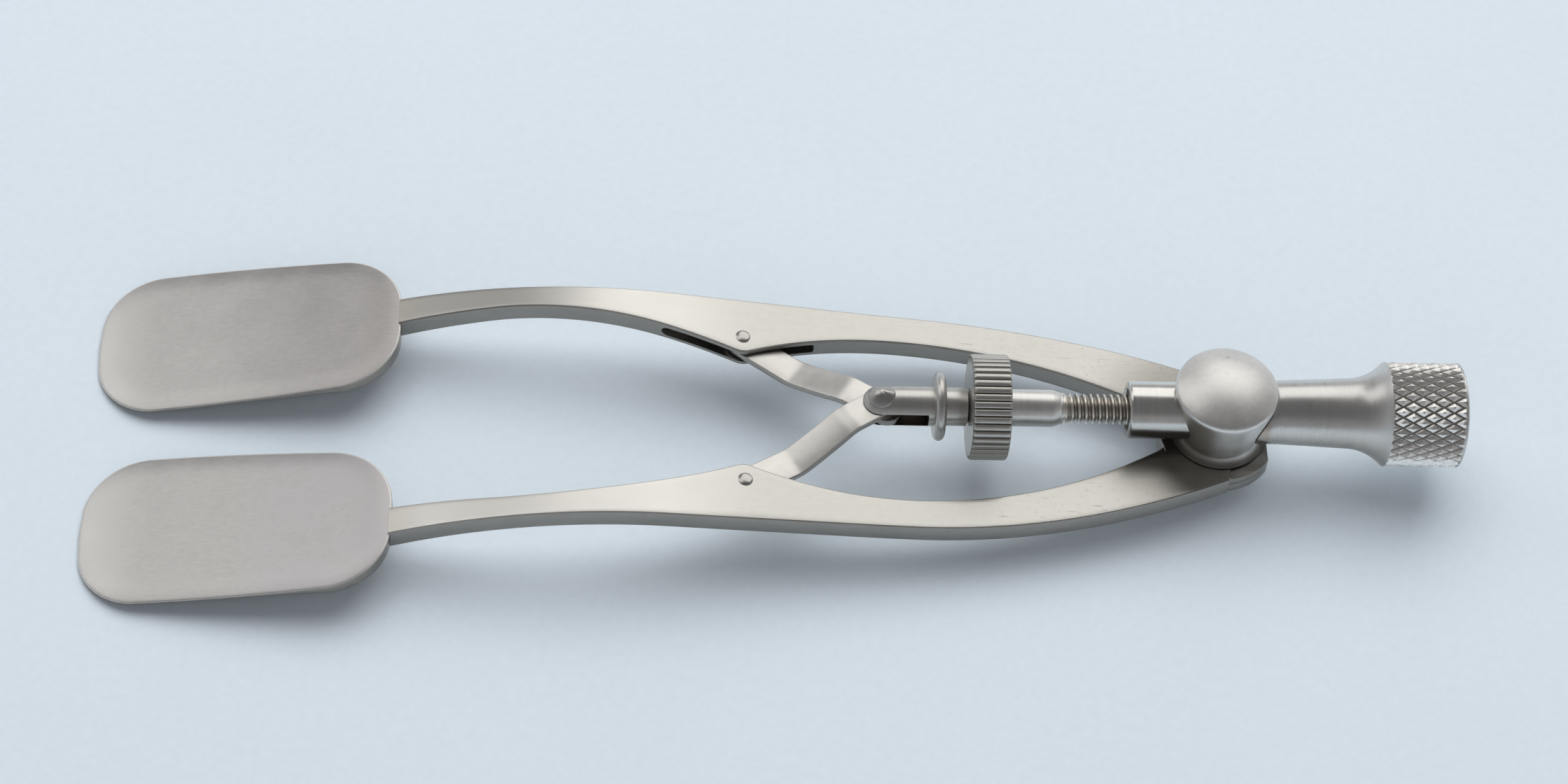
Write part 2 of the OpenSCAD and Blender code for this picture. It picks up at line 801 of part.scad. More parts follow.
module pivot_washer() {
    color("gray")
        translate([0, 0, nut_top])
            difference() {
                cylinder(h = washer_t, r = washer_r);
                translate([0, 0, -over])
                    cylinder(h = washer_t + 2 * over, r = shank_r + fixed_gap);
            }
}

module pivot_nut() {
    color("gray")
        difference() {
            union() {
                cylinder(h = nut_bevel, r1 = nut_r - nut_bevel, r2 = nut_r);
                translate([0, 0, nut_bevel])
                    cylinder(h = nut_top - nut_bevel, r = nut_r);
            }
            translate([0, 0, -over])
                cylinder(h = nut_top + 2 * over, r = shank_r + fixed_gap);
        }
}

module handle_collar() {
    color("silver")
        difference() {
            bar_x(stem_r, shoulder_x, collar_end_x);
            post_body(cope_gap);
            bar_x(spigot_r + fixed_gap, shoulder_x - over, collar_end_x + over);
        }
}

module handle() {
    color("silver")
        difference() {
            union() {
                bar_x(stem_r, collar_end_x, flare_x, stem_end_r);
                turned_x()
                    difference() {
                        translate([0, flare_x])
                            square([knob_r, knob_x - flare_x]);
                        translate([stem_end_r + flare_r, flare_x])
                            circle(flare_r);
                    }
                bar_x(knob_r, knob_x, knob_end_x - knob_bevel);
                bar_x(knob_r, knob_end_x - knob_bevel, knob_end_x, knob_r - knob_bevel);
            }
            bar_x(spigot_r + fixed_gap, collar_end_x - over, spigot_x + fixed_gap);
            bar_x(cap_plug_r + fixed_gap, knob_end_x - cap_plug - fixed_gap, knob_end_x + over);
        }
}

module end_cap() {
    color("silver") {
        bar_x(cap_plug_r, knob_end_x - cap_plug, knob_end_x);
        translate([knob_end_x, 0, axis_z])
            rotate([0, 90, 0])
                dome(cap_r, cap_dome);
    }
}

left_arm();
right_arm();
left_blade();
right_blade();
left_rivet();
right_rivet();
left_link();
right_link();
yoke();
yoke_pin();
journal_collar();
thumb_wheel();
screw_spindle();
screw_thread();
sleeve();
thread_bush();
pivot_post();
pivot_washer();
pivot_nut();
handle_collar();
handle();
end_cap();
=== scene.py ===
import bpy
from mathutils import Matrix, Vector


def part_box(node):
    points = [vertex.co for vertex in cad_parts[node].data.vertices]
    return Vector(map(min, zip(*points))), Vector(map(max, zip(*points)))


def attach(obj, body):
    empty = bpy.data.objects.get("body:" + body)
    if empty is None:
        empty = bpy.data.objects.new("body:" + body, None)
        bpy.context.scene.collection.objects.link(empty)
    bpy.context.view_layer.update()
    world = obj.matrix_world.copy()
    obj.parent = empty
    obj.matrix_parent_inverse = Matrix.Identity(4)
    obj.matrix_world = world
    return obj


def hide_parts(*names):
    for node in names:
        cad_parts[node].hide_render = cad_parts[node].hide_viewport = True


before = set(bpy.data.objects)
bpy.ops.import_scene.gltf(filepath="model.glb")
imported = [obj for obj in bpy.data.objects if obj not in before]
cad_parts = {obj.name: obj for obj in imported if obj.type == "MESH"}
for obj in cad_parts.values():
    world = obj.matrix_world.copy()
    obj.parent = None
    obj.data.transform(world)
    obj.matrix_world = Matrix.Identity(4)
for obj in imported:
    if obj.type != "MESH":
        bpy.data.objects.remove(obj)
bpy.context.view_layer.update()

from math import acos, asin, atan2, cos, hypot, pi, radians, sin, sqrt, tan

import bmesh
import bpy
import numpy as np
from mathutils import Matrix

# Sizes are in millimetres in the part's frame, and turn into metres when a mesh is made
MM = 0.001
AXIS_Z = sum(corner[2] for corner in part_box("thumb_wheel")) / 2 / MM
AXIS_H = 1.9
ARM_Z = AXIS_Z - AXIS_H

# Arms: side view
ARM_T = 1.27
ARM_REACH = 47.85
FLAT_X = 6.9
RISE_R = 130.0
RISE = radians(6.4)
RISE_RUN = 10.8
BOW_R = 36.7
RISE_END = (-FLAT_X - RISE_R * sin(RISE), RISE_R * (1 - cos(RISE)))
BOW_START = (RISE_END[0] - RISE_RUN * cos(RISE), RISE_END[1] + RISE_RUN * sin(RISE))
BOW_CENTRE = (BOW_START[0] - BOW_R * sin(RISE), BOW_START[1] - BOW_R * cos(RISE))

# Arms: plan of the right one, which lies on the +Y side
ARM_OUT_FRONT = 8.42
ARM_OUT_REAR = 7.58
ARM_OUT_REAR_X = 18.0
ARM_OUT_R = 51.0
ARM_IN_FRONT = 6.62
FRONT_CREST_X = 41.9
FRONT_CREST = 6.8
FRONT_HOLLOW_R = 36.0
REAR_CREST_X = 19.0
REAR_CREST = 5.64
BULGE_SIDE_R = 24.0
PIVOT_SIDE_R = 30.5
BULGE_R = 1.1
PLATE_END_X = 0.4
SLOT_FRONT_X = 32.6
SLOT_REAR_X = 23.6
SLOT_H = 0.7
SLOT_BEHIND = 1.15
RIVET = (-27.839, 5.13217)
BULGE_TIP = (-28.2559, -27.4516)
BULGE_FINE = (-28.7, -27.0)
LAP_FADE = 0.4
ARM_EDGE = 0.1
BRAZE = 0.15

OUT_TILT = atan2(ARM_OUT_FRONT - ARM_OUT_REAR, ARM_REACH - ARM_OUT_REAR_X)
OUT_CENTRE = (-ARM_OUT_REAR_X - ARM_OUT_R * sin(OUT_TILT),
              ARM_OUT_REAR - ARM_OUT_R * cos(OUT_TILT))
FRONT_CENTRE = (-FRONT_CREST_X, FRONT_CREST - FRONT_HOLLOW_R)
BULGE_SIDE_CENTRE = (-REAR_CREST_X, REAR_CREST - BULGE_SIDE_R)
PIVOT_SIDE_CENTRE = (-REAR_CREST_X, REAR_CREST - PIVOT_SIDE_R)
RISE_TAN = tan(RISE)
RIVET_TOP = ARM_Z + RISE_END[1] + (RISE_END[0] - RIVET[0]) * RISE_TAN
RIVET_LOW = RIVET_TOP - ARM_T / cos(RISE)
SLOT_MID = (RIVET_TOP + RIVET_LOW) / 2

# Pivot
EYE_R = 3.46
TOP_EYE_T = 0.62
LAP_GAP = 0.05
EYE_STEP = 0.12
EYE_STEP_X = 0.5
EYE_END_X = 2.85
POST_FOOT_R = 2.8
POST_WAIST_R = 2.4
POST_RIM_R = 3.04
POST_RIM_H = 4.07
POST_FLARE_H = 0.59
DOME_H = 0.85
SHANK_R = 1.1
WASHER_R = 1.95
NUT_R = 1.85
NUT_Z = ARM_Z - 1.42

# Blades
BLADE_LEN = 17.8
BLADE_TILT = radians(9.7)
BLADE_ROOT_T = 1.25
BLADE_TIP_T = 0.36
BLADE_TAPER = 10.5
BLADE_OUT = 11.7
BLADE_IN_ROOT = 2.3
BLADE_IN_TIP = 1.75
BLADE_TIP_BOW = 0.07
BLADE_SIDE_BOW = 0.1
ROOT_OUT_R, ROOT_IN_R, TIP_IN_R, TIP_OUT_R = 3.8, 3.9, 3.7, 3.7
BLADE_TIP_X = -ARM_REACH - BLADE_LEN
BLADE_CORNERS = ((-ARM_REACH - ROOT_OUT_R, BLADE_OUT - ROOT_OUT_R, ROOT_OUT_R),
                 (-ARM_REACH - ROOT_IN_R, BLADE_IN_ROOT + ROOT_IN_R, ROOT_IN_R),
                 (BLADE_TIP_X + TIP_IN_R, BLADE_IN_TIP + TIP_IN_R, TIP_IN_R),
                 (BLADE_TIP_X + TIP_OUT_R, BLADE_OUT - TIP_OUT_R, TIP_OUT_R))

# Links, yoke and screw
PIN_X = 19.95
LINK_W = 1.85
LINK_T = 0.42
LINK_PAST_PIN = 1.35
LINK_PAST_RIVET = 0.93
LINK_LEN = 9.41145
LINK_TURN = radians(33.046)
LINK_BEND_A = 3.5
LINK_BEND_B = 7.1
RIVET_R = 0.45
YOKE_R = 1.15
NECK_R = 1.12
FORK_H = 1.0
FORK_END_X = 17.2
FLANGE_X = 16.88
FLANGE_W = 0.64
FLANGE_R = 2.0
NECK_END_X = 14.92
PIN_R = 0.4
WHEEL_FRONT_X = 14.8
WHEEL_W = 2.2
WHEEL_R = 3.07
WHEEL_FACE_R = 1.8
WHEEL_RIDGES = 42
SPINDLE_R = 1.08
THREAD_FRONT_X = 9.4
THREAD_R = 0.88
THREAD_ROOT_R = 0.67
THREAD_PITCH = 0.4
THREAD_TURNS = 22
SLEEVE_R = 1.67
SLEEVE_X = 5.6
BORE_R = 1.2
CORE_R = 0.95
COLLAR_END_X = 3.33
HOLLOW_R = 1.4
STEM_R = 1.87
STEM_END_R = 2.05
FLARE_X = 7.2
KNOB_X = 9.45
KNOB_LEN = 4.4
KNOB_R = 3.07
KNOB_END_X = KNOB_X + KNOB_LEN
DIAMONDS = 29
DIAMOND_LEN = 1.19
CAP_R = 2.9
CAP_DOME = 0.5

# The paper
FLOOR_TONE = (0.75, 0.84, 0.92)


# Meshes
class Shape:
    """Vertices and faces that grow by whole shells."""

    def __init__(self):
        self.verts = []
        self.faces = []

    def loft(self, rings, cap_start=False, cap_end=False):
        """Joins closed rings of equal length; a ring of one point is a pole."""
        starts = []
        for ring in rings:
            starts.append(len(self.verts))
            self.verts.extend(ring)
        for i in range(len(rings) - 1):
            a, b = starts[i], starts[i + 1]
            na, nb = len(rings[i]), len(rings[i + 1])
            count = max(na, nb)
            for j in range(count):
                k = (j + 1) % count
                if na == 1:
                    self.faces.append((a, b + j, b + k))
                elif nb == 1:
                    self.faces.append((a + j, b, a + k))
                else:
                    self.faces.append((a + j, b + j, b + k, a + k))
        if cap_start:
            self.faces.append(tuple(range(starts[0], starts[0] + len(rings[0]))))
        if cap_end:
            self.faces.append(tuple(range(starts[-1], starts[-1] + len(rings[-1]))))
        return self

    def zip_up(self, count):
        """Closes the last ring, a long one along X, with triangles across it."""
        first = len(self.verts) - count
        place = [self.verts[first + i][0] for i in range(count)]
        left, right = place.index(min(place)), place.index(max(place))
        one = [(left + i) % count for i in range((right - left) % count + 1)]
        other = [(left - i) % count for i in range((left - right) % count + 1)]
        i = j = 0
        while i < len(one) - 1 or j < len(other) - 1:
            ahead = i < len(one) - 1
            if j == len(other) - 1 or (ahead and place[one[i + 1]] <= place[other[j + 1]]):
                face = (one[i], one[i + 1], other[j])
                i += 1
            else:
                face = (one[i], other[j + 1], other[j])
                j += 1
            if len(set(face)) == 3:
                self.faces.append(tuple(first + k for k in face))
        return self

    def moved(self, change):
        self.verts = [change(v) for v in self.verts]
        return self

    def sided(self, side):
        """Mirrored to the left arm's side where side is -1."""
        return self.moved(lambda v: (v[0], side * v[1], v[2]))

    def mesh(self, name):
        mesh = bpy.data.meshes.new(name)
        mesh.from_pydata([(x * MM, y * MM, z * MM) for x, y, z in self.verts], [], self.faces)
        return mesh


def placed(name, data):
    """A new object in the scene."""
    obj = bpy.data.objects.new(name, data)
    bpy.context.scene.collection.objects.link(obj)
    return obj


def piece(node, shape, body, material, sharp=35.0, bevel=0.0, others=(), pick=None):
    """A mesh object that rides on a body and stands for a node.

    The others are further materials, and pick chooses one for a face by its centre and normal.
    """
    mesh = shape.mesh(node + "_body")
    bm = bmesh.new()
    bm.from_mesh(mesh)
    bmesh.ops.remove_doubles(bm, verts=bm.verts, dist=2e-7)
    bmesh.ops.dissolve_degenerate(bm, dist=1e-8, edges=bm.edges)
    bmesh.ops.recalc_face_normals(bm, faces=bm.faces)
    bm.to_mesh(mesh)
    bm.free()
    mesh.polygons.foreach_set("use_smooth", [True] * len(mesh.polygons))
    mesh.set_sharp_from_angle(angle=radians(sharp))
    for entry in (material, *others):
        mesh.materials.append(entry)
    if pick:
        for face in mesh.polygons:
            face.material_index = pick(face.center / MM, face.normal)
    obj = placed(node + "_body", mesh)
    if bevel:
        mod = obj.modifiers.new("edges", "BEVEL")
        mod.width = bevel * MM
        mod.segments = 2
        mod.limit_method = "ANGLE"
        mod.angle_limit = radians(sharp)
    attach(obj, body)
    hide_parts(node)


def rounded(points, radii, steps):
    """A polyline whose inner corners are turned into arcs."""
    out = []
    last = len(points) - 1
    for i, (p, r) in enumerate(zip(points, radii)):
        if not r or i in (0, last):
            out.append(tuple(p))
            continue
        p = np.array(p, float)
        u = np.array(points[i - 1], float) - p
        v = np.array(points[i + 1], float) - p
        lu, lv = np.linalg.norm(u), np.linalg.norm(v)
        u, v = u / lu, v / lv
        half = acos(max(-1.0, min(1.0, float(u @ v)))) / 2
        back = min(r / tan(half), 0.499 * lu, 0.499 * lv)
        r = back * tan(half)
        mid = (u + v) / np.linalg.norm(u + v)
        centre = p + mid * r / sin(half)
        a, b = p + u * back - centre, p + v * back - centre
        turn = acos(max(-1.0, min(1.0, float(a @ b) / (r * r))))
        for k in range(steps + 1):
            t = k / steps
            q = (sin((1 - t) * turn) * a + sin(t * turn) * b) / sin(turn)
            out.append(tuple(centre + q))
    return out


def turns(count):
    """Equal steps round a circle."""
    return [2 * pi * j / count for j in range(count)]


def ring_x(x, radius, count):
    """A ring about the screw axis; radius is a number or a function of the angle."""
    if not callable(radius) and radius < 1e-6:
        return [(x, 0.0, AXIS_Z)]
    sizes = [(a, radius(a) if callable(radius) else radius) for a in turns(count)]
    return [(x, r * cos(a), AXIS_Z + r * sin(a)) for a, r in sizes]


def ring_z(z, radius, count, centre=(0.0, 0.0)):
    if radius < 1e-6:
        return [(centre[0], centre[1], z)]
    return [(centre[0] + radius * cos(a), centre[1] + radius * sin(a), z) for a in turns(count)]


def lathe_x(profile, count):
    return Shape().loft([ring_x(x, r, count) for x, r in profile])


def lathe_z(profile, count, centre=(0.0, 0.0)):
    return Shape().loft([ring_z(z, r, count, centre) for z, r in profile])


def dome_profile(start, r, h, steps):
    """(place, radius) pairs up a shallow dome to its pole."""
    ball = (r * r + h * h) / (2 * h)
    edge = asin(r / ball)
    return [(start + (ball * cos(edge * (1 - k / steps)) - (ball - h)),
             ball * sin(edge * (1 - k / steps))) for k in range(steps + 1)]


def smooth(t):
    t = min(1.0, max(0.0, t))
    return t * t * (3 - 2 * t)


# The arms
def arc(x, centre, radius, side=1):
    """Height of a circle over x, on its upper or its lower side."""
    return centre[1] + side * sqrt(radius ** 2 - (x - centre[0]) ** 2)


def from_end(x, start, end, end_x):
    """A straight edge that begins at the arm's front end."""
    return start + (end - start) * (x + ARM_REACH) / (ARM_REACH - end_x)


def swell(distance, reach):
    """Rises from 0 to 1 as a quarter circle does."""
    return sqrt(1 - (1 - min(1.0, distance / reach)) ** 2)


def under_top(x, depth):
    """Height of the surface that lies a depth under the arm's curved top, from the flat top."""
    if x > -FLAT_X:
        return -depth
    if x > RISE_END[0] - depth * sin(RISE):
        return arc(x, (-FLAT_X, RISE_R), RISE_R + depth, -1)
    if x > BOW_START[0] - depth * sin(RISE):
        return RISE_END[1] + (RISE_END[0] - x) * RISE_TAN - depth / cos(RISE)
    return arc(x, BOW_CENTRE, BOW_R - depth)


def arm_inner(x):
    if x < -FRONT_CREST_X:
        return from_end(x, ARM_IN_FRONT, FRONT_CREST, FRONT_CREST_X)
    if x < BULGE_TIP[0]:
        return arc(x, FRONT_CENTRE, FRONT_HOLLOW_R)
    if x < BULGE_TIP[1]:
        return arc(x, RIVET, BULGE_R, -1)
    if x < -REAR_CREST_X:
        return arc(x, BULGE_SIDE_CENTRE, BULGE_SIDE_R)
    return arc(x, PIVOT_SIDE_CENTRE, PIVOT_SIDE_R)


def arm_outer(x):
    if x < -ARM_OUT_REAR_X:
        return from_end(x, ARM_OUT_FRONT, ARM_OUT_REAR, ARM_OUT_REAR_X)
    return arc(x, OUT_CENTRE, ARM_OUT_R)


def arm_stations(lap_x):
    """Places along the arm, closer together where its outline or its slot turns."""
    starts = ((-ARM_REACH - BRAZE, 0.3), (-SLOT_FRONT_X - 0.4, 0.1), (-SLOT_FRONT_X, 0.05),
              (-SLOT_FRONT_X + 1.1, 0.25), (BULGE_FINE[0], 0.06), (BULGE_FINE[1], 0.2),
              (-SLOT_REAR_X - 0.2, 0.04), (-SLOT_REAR_X, 0.3), (-FLAT_X, 0.3),
              (lap_x - LAP_FADE, 0.06), (lap_x, 0.1), (PLATE_END_X, None))
    xs = {PLATE_END_X}
    for (a, step), following in zip(starts, starts[1:]):
        b = following[0]
        n = max(1, round((b - a) / step))
        xs.update(a + (b - a) * k / n for k in range(n))
    return sorted(set(round(x, 5) for x in xs))


QUARTER = [(1 - sin(a), 1 - cos(a)) for a in (pi / 2 * k / 3 for k in range(4))]
EIGHTHS = [k / 8 for k in range(1, 8)]


def corner(y, z, in_y, in_z, flip=False):
    """A rounded corner of the arm's section; in_y and in_z are its radius with a sign."""
    return [(y + in_y * (c if flip else s), z + in_z * (s if flip else c)) for s, c in QUARTER]


def arm_section(x, lap_r, lap_x, lap_edge, slot, tall):
    """The loop round the arm at one station.

    Slot and tall are shares of the slot's depth and height.
    """
    inner, outer = arm_inner(x), arm_outer(x)
    edge_in = ARM_EDGE
    if x > lap_x:
        inner = sqrt(max(lap_r * lap_r - x * x, 0.0))
        edge_in = lap_edge
    elif x > lap_x - LAP_FADE:
        edge_in = ARM_EDGE + (lap_edge - ARM_EDGE) * (x - lap_x + LAP_FADE) / LAP_FADE
    width = outer - inner
    edge_in, edge_out = min(edge_in, width * 0.4), min(ARM_EDGE, width * 0.4)
    level = width - edge_in - edge_out
    top, low = ARM_Z + under_top(x, 0), ARM_Z + under_top(x, ARM_T)
    slot_high = ARM_Z + under_top(x, (ARM_T - SLOT_H * tall) / 2)
    slot_low = ARM_Z + under_top(x, (ARM_T + SLOT_H * tall) / 2)
    slot_y = inner + slot * (RIVET[1] + SLOT_BEHIND - inner)
    loop = corner(inner, low, edge_in, edge_in)
    loop += [(inner, slot_low), (slot_y, slot_low), (slot_y, slot_high), (inner, slot_high)]
    loop += corner(inner, top, edge_in, -edge_in, True)
    loop += [(inner + edge_in + t * level, top) for t in EIGHTHS]
    loop += corner(outer, top, -edge_out, -edge_out)
    loop += corner(outer, low, -edge_out, edge_out, True)
    loop += [(outer - edge_out - t * level, low) for t in EIGHTHS]
    return [(x, y, z) for y, z in loop]


def arm_plate(lap_r, lap_edge):
    """The arm as far as its eye, hollowed there to the lap's radius."""
    lap_x = -3.0
    while arm_inner(lap_x) ** 2 + lap_x ** 2 < lap_r ** 2:
        lap_x -= 0.001
    mouth, bend, rear = 0.9, 0.42, 0.16
    rings = []
    for x in arm_stations(lap_x):
        slot, tall = 0.0, 1.0
        if -SLOT_FRONT_X <= x <= -SLOT_REAR_X:
            slot = swell(x + SLOT_FRONT_X, mouth)
            tall = max(0.05, swell(x + SLOT_FRONT_X, bend))
            tall *= 0.55 + 0.45 * swell(-SLOT_REAR_X - x, rear)
        rings.append(arm_section(x, lap_r, lap_x, lap_edge, slot, tall))
        if x == -SLOT_REAR_X:
            rings.append(arm_section(x, lap_r, lap_x, lap_edge, 0.0, tall))
    return Shape().loft(rings, cap_start=True, cap_end=True)


def slab(shape, outline, low, high, edges, edge_low):
    """A flat plate with rounded rims; edges gives the top rim's radius at each point."""
    n = len(outline)
    inward = []
    for i in range(n):
        ax, ay = outline[i - 1]
        bx, by = outline[(i + 1) % n]
        length = hypot(bx - ax, by - ay)
        inward.append((-(by - ay) / length, (bx - ax) / length))

    def ring(z, rise, share, sizes):
        return [(p[0] + q[0] * s * share, p[1] + q[1] * s * share, z + rise * s)
                for p, q, s in zip(outline, inward, sizes)]
    rings = [ring(low, rise, share, [edge_low] * n) for rise, share in ((0, 1), (0.3, 0.3), (1, 0))]
    rings += [ring(high, rise, share, edges) for rise, share in
              ((-1, 0), (-0.62, 0.08), (-0.3, 0.3), (-0.08, 0.62), (0, 1))]
    return shape.loft(rings, cap_start=True, cap_end=True)


def circle_points(radius, keep=lambda x, y: True, count=240):
    points = [(radius * cos(a), radius * sin(a)) for a in turns(count)]
    return [p for p in points if keep(*p)]


def right_arm_shape():
    shape = arm_plate(EYE_R + LAP_GAP, 0.05)
    rim = 0.03

    def reach(x, y):
        beside = y > 0 and x < PLATE_END_X and y > arm_inner(x)
        return (EYE_R + LAP_GAP + rim) / EYE_R if beside else 1.0
    outline = [(x * reach(x, y), y * reach(x, y)) for x, y in circle_points(EYE_R)]
    outline = [(min(x, EYE_END_X), y) for x, y in outline]
    return slab(shape, outline, ARM_Z - ARM_T, ARM_Z - TOP_EYE_T - rim, [rim] * len(outline), rim)


def left_arm_shape():
    shape = arm_plate(EYE_R, 0.0)
    rim = 0.02

    def edge(x, y):
        if x > EYE_STEP_X - 0.01:
            return 0.0
        return 0.0 if y > 0 and x < PLATE_END_X and y > arm_inner(x) - 0.05 else 0.08
    step_y = sqrt(EYE_R ** 2 - EYE_STEP_X ** 2)
    raised = circle_points(EYE_R, lambda x, y: x < EYE_STEP_X)
    outline = [(EYE_STEP_X, step_y)] + raised + [(EYE_STEP_X, -step_y)]
    slab(shape, outline, ARM_Z - TOP_EYE_T, ARM_Z, [edge(*p) for p in outline], rim)
    back = circle_points(EYE_R, lambda x, y: x > EYE_STEP_X - 0.1)
    behind = [p for p in back if p[1] < 0] + [p for p in back if p[1] >= 0]
    behind = [(min(x, EYE_END_X), y) for x, y in behind]
    slab(shape, behind, ARM_Z - TOP_EYE_T, ARM_Z - EYE_STEP, [0.05] * len(behind), rim)
    return shape.sided(-1)


# The blades
def side_angle(a, b):
    reach = hypot(b[0] - a[0], b[1] - a[1])
    return atan2(b[1] - a[1], b[0] - a[0]) + acos((a[2] - b[2]) / reach)


def blade_plan():
    """Points of the right blade's outline, each as a corner centre, its radius and an angle."""
    c = BLADE_CORNERS
    arcs = []
    for i in range(4):
        before, after = side_angle(c[i - 1], c[i]), side_angle(c[i], c[(i + 1) % 4])
        turn = (before - after) % (2 * pi)
        steps = max(8, round(turn * c[i][2] / 0.14))
        arcs.append([(c[i], before - turn * k / steps) for k in range(steps + 1)])
    plan = []
    for i in range(4):
        plan += [(a, a, 0.0) for a in arcs[i]]
        first, last = arcs[i][-1], arcs[(i + 1) % 4][0]
        gap = hypot(last[0][0] - first[0][0], last[0][1] - first[0][1])
        steps = max(2, round(gap / 0.35))
        plan += [(first, last, k / steps) for k in range(1, steps)]
    return plan


def blade_point(entry, inset):
    """The outline's point, drawn in by the inset; the edges between corners bow a little."""
    (ax, ay), (bx, by) = [(x + (r - inset) * cos(a), y + (r - inset) * sin(a))
                          for (x, y, r), a in entry[:2]]
    t = entry[2]
    length = hypot(bx - ax, by - ay)
    bow = BLADE_SIDE_BOW
    if max(ax, bx) < BLADE_TIP_X + 2:
        bow = BLADE_TIP_BOW
    elif min(ax, bx) > -ARM_REACH - 2:
        bow = 0.0
    bow *= 4 * t * (1 - t) * (1 - inset / 3.5)
    return (ax + (bx - ax) * t - (by - ay) / length * bow if length else ax,
            ay + (by - ay) * t + (bx - ax) / length * bow if length else ay)


def blade_top(x):
    return ARM_Z + under_top(-ARM_REACH, 0) + (x + ARM_REACH) * tan(BLADE_TILT)


def blade_depth(x):
    thin = BLADE_ROOT_T - BLADE_TIP_T
    under_r = (BLADE_TAPER ** 2 + thin ** 2) / (2 * thin)
    u = min(BLADE_TAPER, max(0.0, BLADE_TAPER + (x + ARM_REACH) / cos(BLADE_TILT)))
    return (BLADE_TIP_T + under_r - sqrt(under_r ** 2 - u * u)) / cos(BLADE_TILT)


def blade_shape(side):
    plan = blade_plan()
    crown, crown_reach, lip, lip_drop = 0.13, 1.3, 0.12, 0.09

    def fall(inset, scale=1.0):
        drop = crown * scale * max(0.0, 1 - inset / crown_reach) ** 2
        if inset < lip:
            drop += lip_drop * (1 - sqrt(1 - (1 - inset / lip) ** 2))
        return drop

    def ring(inset, lift, under):
        """The outline at an inset, on the top or, where under is 1, on the underside."""
        points = [blade_point(entry, inset) for entry in plan]
        return [(x, y, blade_top(x) - under * blade_depth(x) + lift) for x, y in points]
    insets = (0, 0.012, 0.04, 0.08, 0.12, 0.2, 0.32, 0.5, 0.75, 1.05, 1.3, 1.9, 2.6, 3.1)
    rings = [ring(inset, -fall(inset), 0) for inset in reversed(insets)]
    rings += [ring(inset, fall(inset, 0.3), 1) for inset in insets]
    # The curved underside closes towards the blade's middle line
    middle = (BLADE_OUT + BLADE_IN_ROOT) / 2
    rings += [[(x, middle + (y - middle) * share, z) for x, y, z in rings[-1]]
              for share in (0.7, 0.4, 0.15)]
    return Shape().loft(rings, cap_start=True).zip_up(len(plan)).sided(side)


# Rivets and links
def rivet_shape(side):
    """A shank, thinner inside the arm, with a low dome at both ends."""
    set_in, dome, thin = 0.02, 0.13, 0.3
    under = [(RIVET_LOW + set_in - dome * cos(a) ** 0.8, RIVET_R * sin(a))
             for a in (pi / 2 * k / 12 for k in range(12))]
    shank = [(RIVET_LOW + set_in, RIVET_R), (RIVET_LOW + 0.1, RIVET_R), (RIVET_LOW + 0.1, thin),
             (RIVET_TOP - 0.1, thin), (RIVET_TOP - 0.1, RIVET_R), (RIVET_TOP - set_in, RIVET_R)]
    top = [(RIVET_TOP - set_in + dome * cos(a) ** 0.8, RIVET_R * sin(a))
           for a in (pi / 2 * (1 - k / 12) for k in range(1, 13))]
    return lathe_z(under + shank + top, 64, (RIVET[0], side * RIVET[1]))


def link_shape(side):
    """A strap drawn from the yoke pin at the origin towards -X, bent down to the arm's slot."""
    high = AXIS_Z - side * (LINK_T + 0.03) / 2
    turn = LINK_TURN if side < 0 else -LINK_TURN
    c, s = cos(turn), sin(turn)
    end_r = LINK_W / 2
    start = LINK_PAST_PIN - end_r
    inner, outer = LINK_LEN - LINK_BEND_B, LINK_LEN - LINK_BEND_A
    edge, soft = 0.07, 0.11

    def half(x):
        if x > start:
            return sqrt(max(0.0, end_r ** 2 - (x - start) ** 2))
        if x < -LINK_LEN:
            return sqrt(max(0.0, LINK_PAST_RIVET ** 2 - (x + LINK_LEN) ** 2))
        return end_r

    def level(x, y=0.0):
        """The outer part lies in the arm's slope, the inner one is level."""
        low = SLOT_MID + (RIVET[0] + PIN_X - x * c + y * s) * RISE_TAN
        t = (-x - inner) / (outer - inner)
        f = min(1.0, max(0.0, t))
        if abs(t) < soft:
            f = (t + soft) ** 2 / (4 * soft)
        elif abs(t - 1) < soft:
            f = 1 - (1 + soft - t) ** 2 / (4 * soft)
        return high + (low - high) * f
    count = 90
    xs = [LINK_PAST_PIN - end_r * (1 - cos(pi / 2 * k / 20)) for k in range(20)]
    xs += [start - (start + LINK_LEN) * k / count for k in range(count + 1)]
    xs += [-LINK_LEN - LINK_PAST_RIVET * sin(pi / 2 * k / 16) for k in range(1, 17)]
    rings = []
    for x in xs:
        w = max(half(x), 0.004)
        e = min(edge, w * 0.5)
        slope = (level(x - 0.01) - level(x + 0.01)) / 0.02
        tall = LINK_T * sqrt(1 + slope * slope) / 2
        loop = []
        for corner_no, (cy, cz) in enumerate(((w - e, tall - e), (-w + e, tall - e),
                                              (-w + e, -tall + e), (w - e, -tall + e))):
            for k in range(4):
                a = pi / 2 * (corner_no + k / 3)
                y = cy + e * cos(a)
                loop.append((x, y, level(x, y) + cz + e * sin(a)))
        rings.append(loop)
    shape = Shape().loft(rings, cap_start=True, cap_end=True)
    return shape.moved(lambda v: (v[0] * c - v[1] * s - PIN_X, v[0] * s + v[1] * c, v[2]))


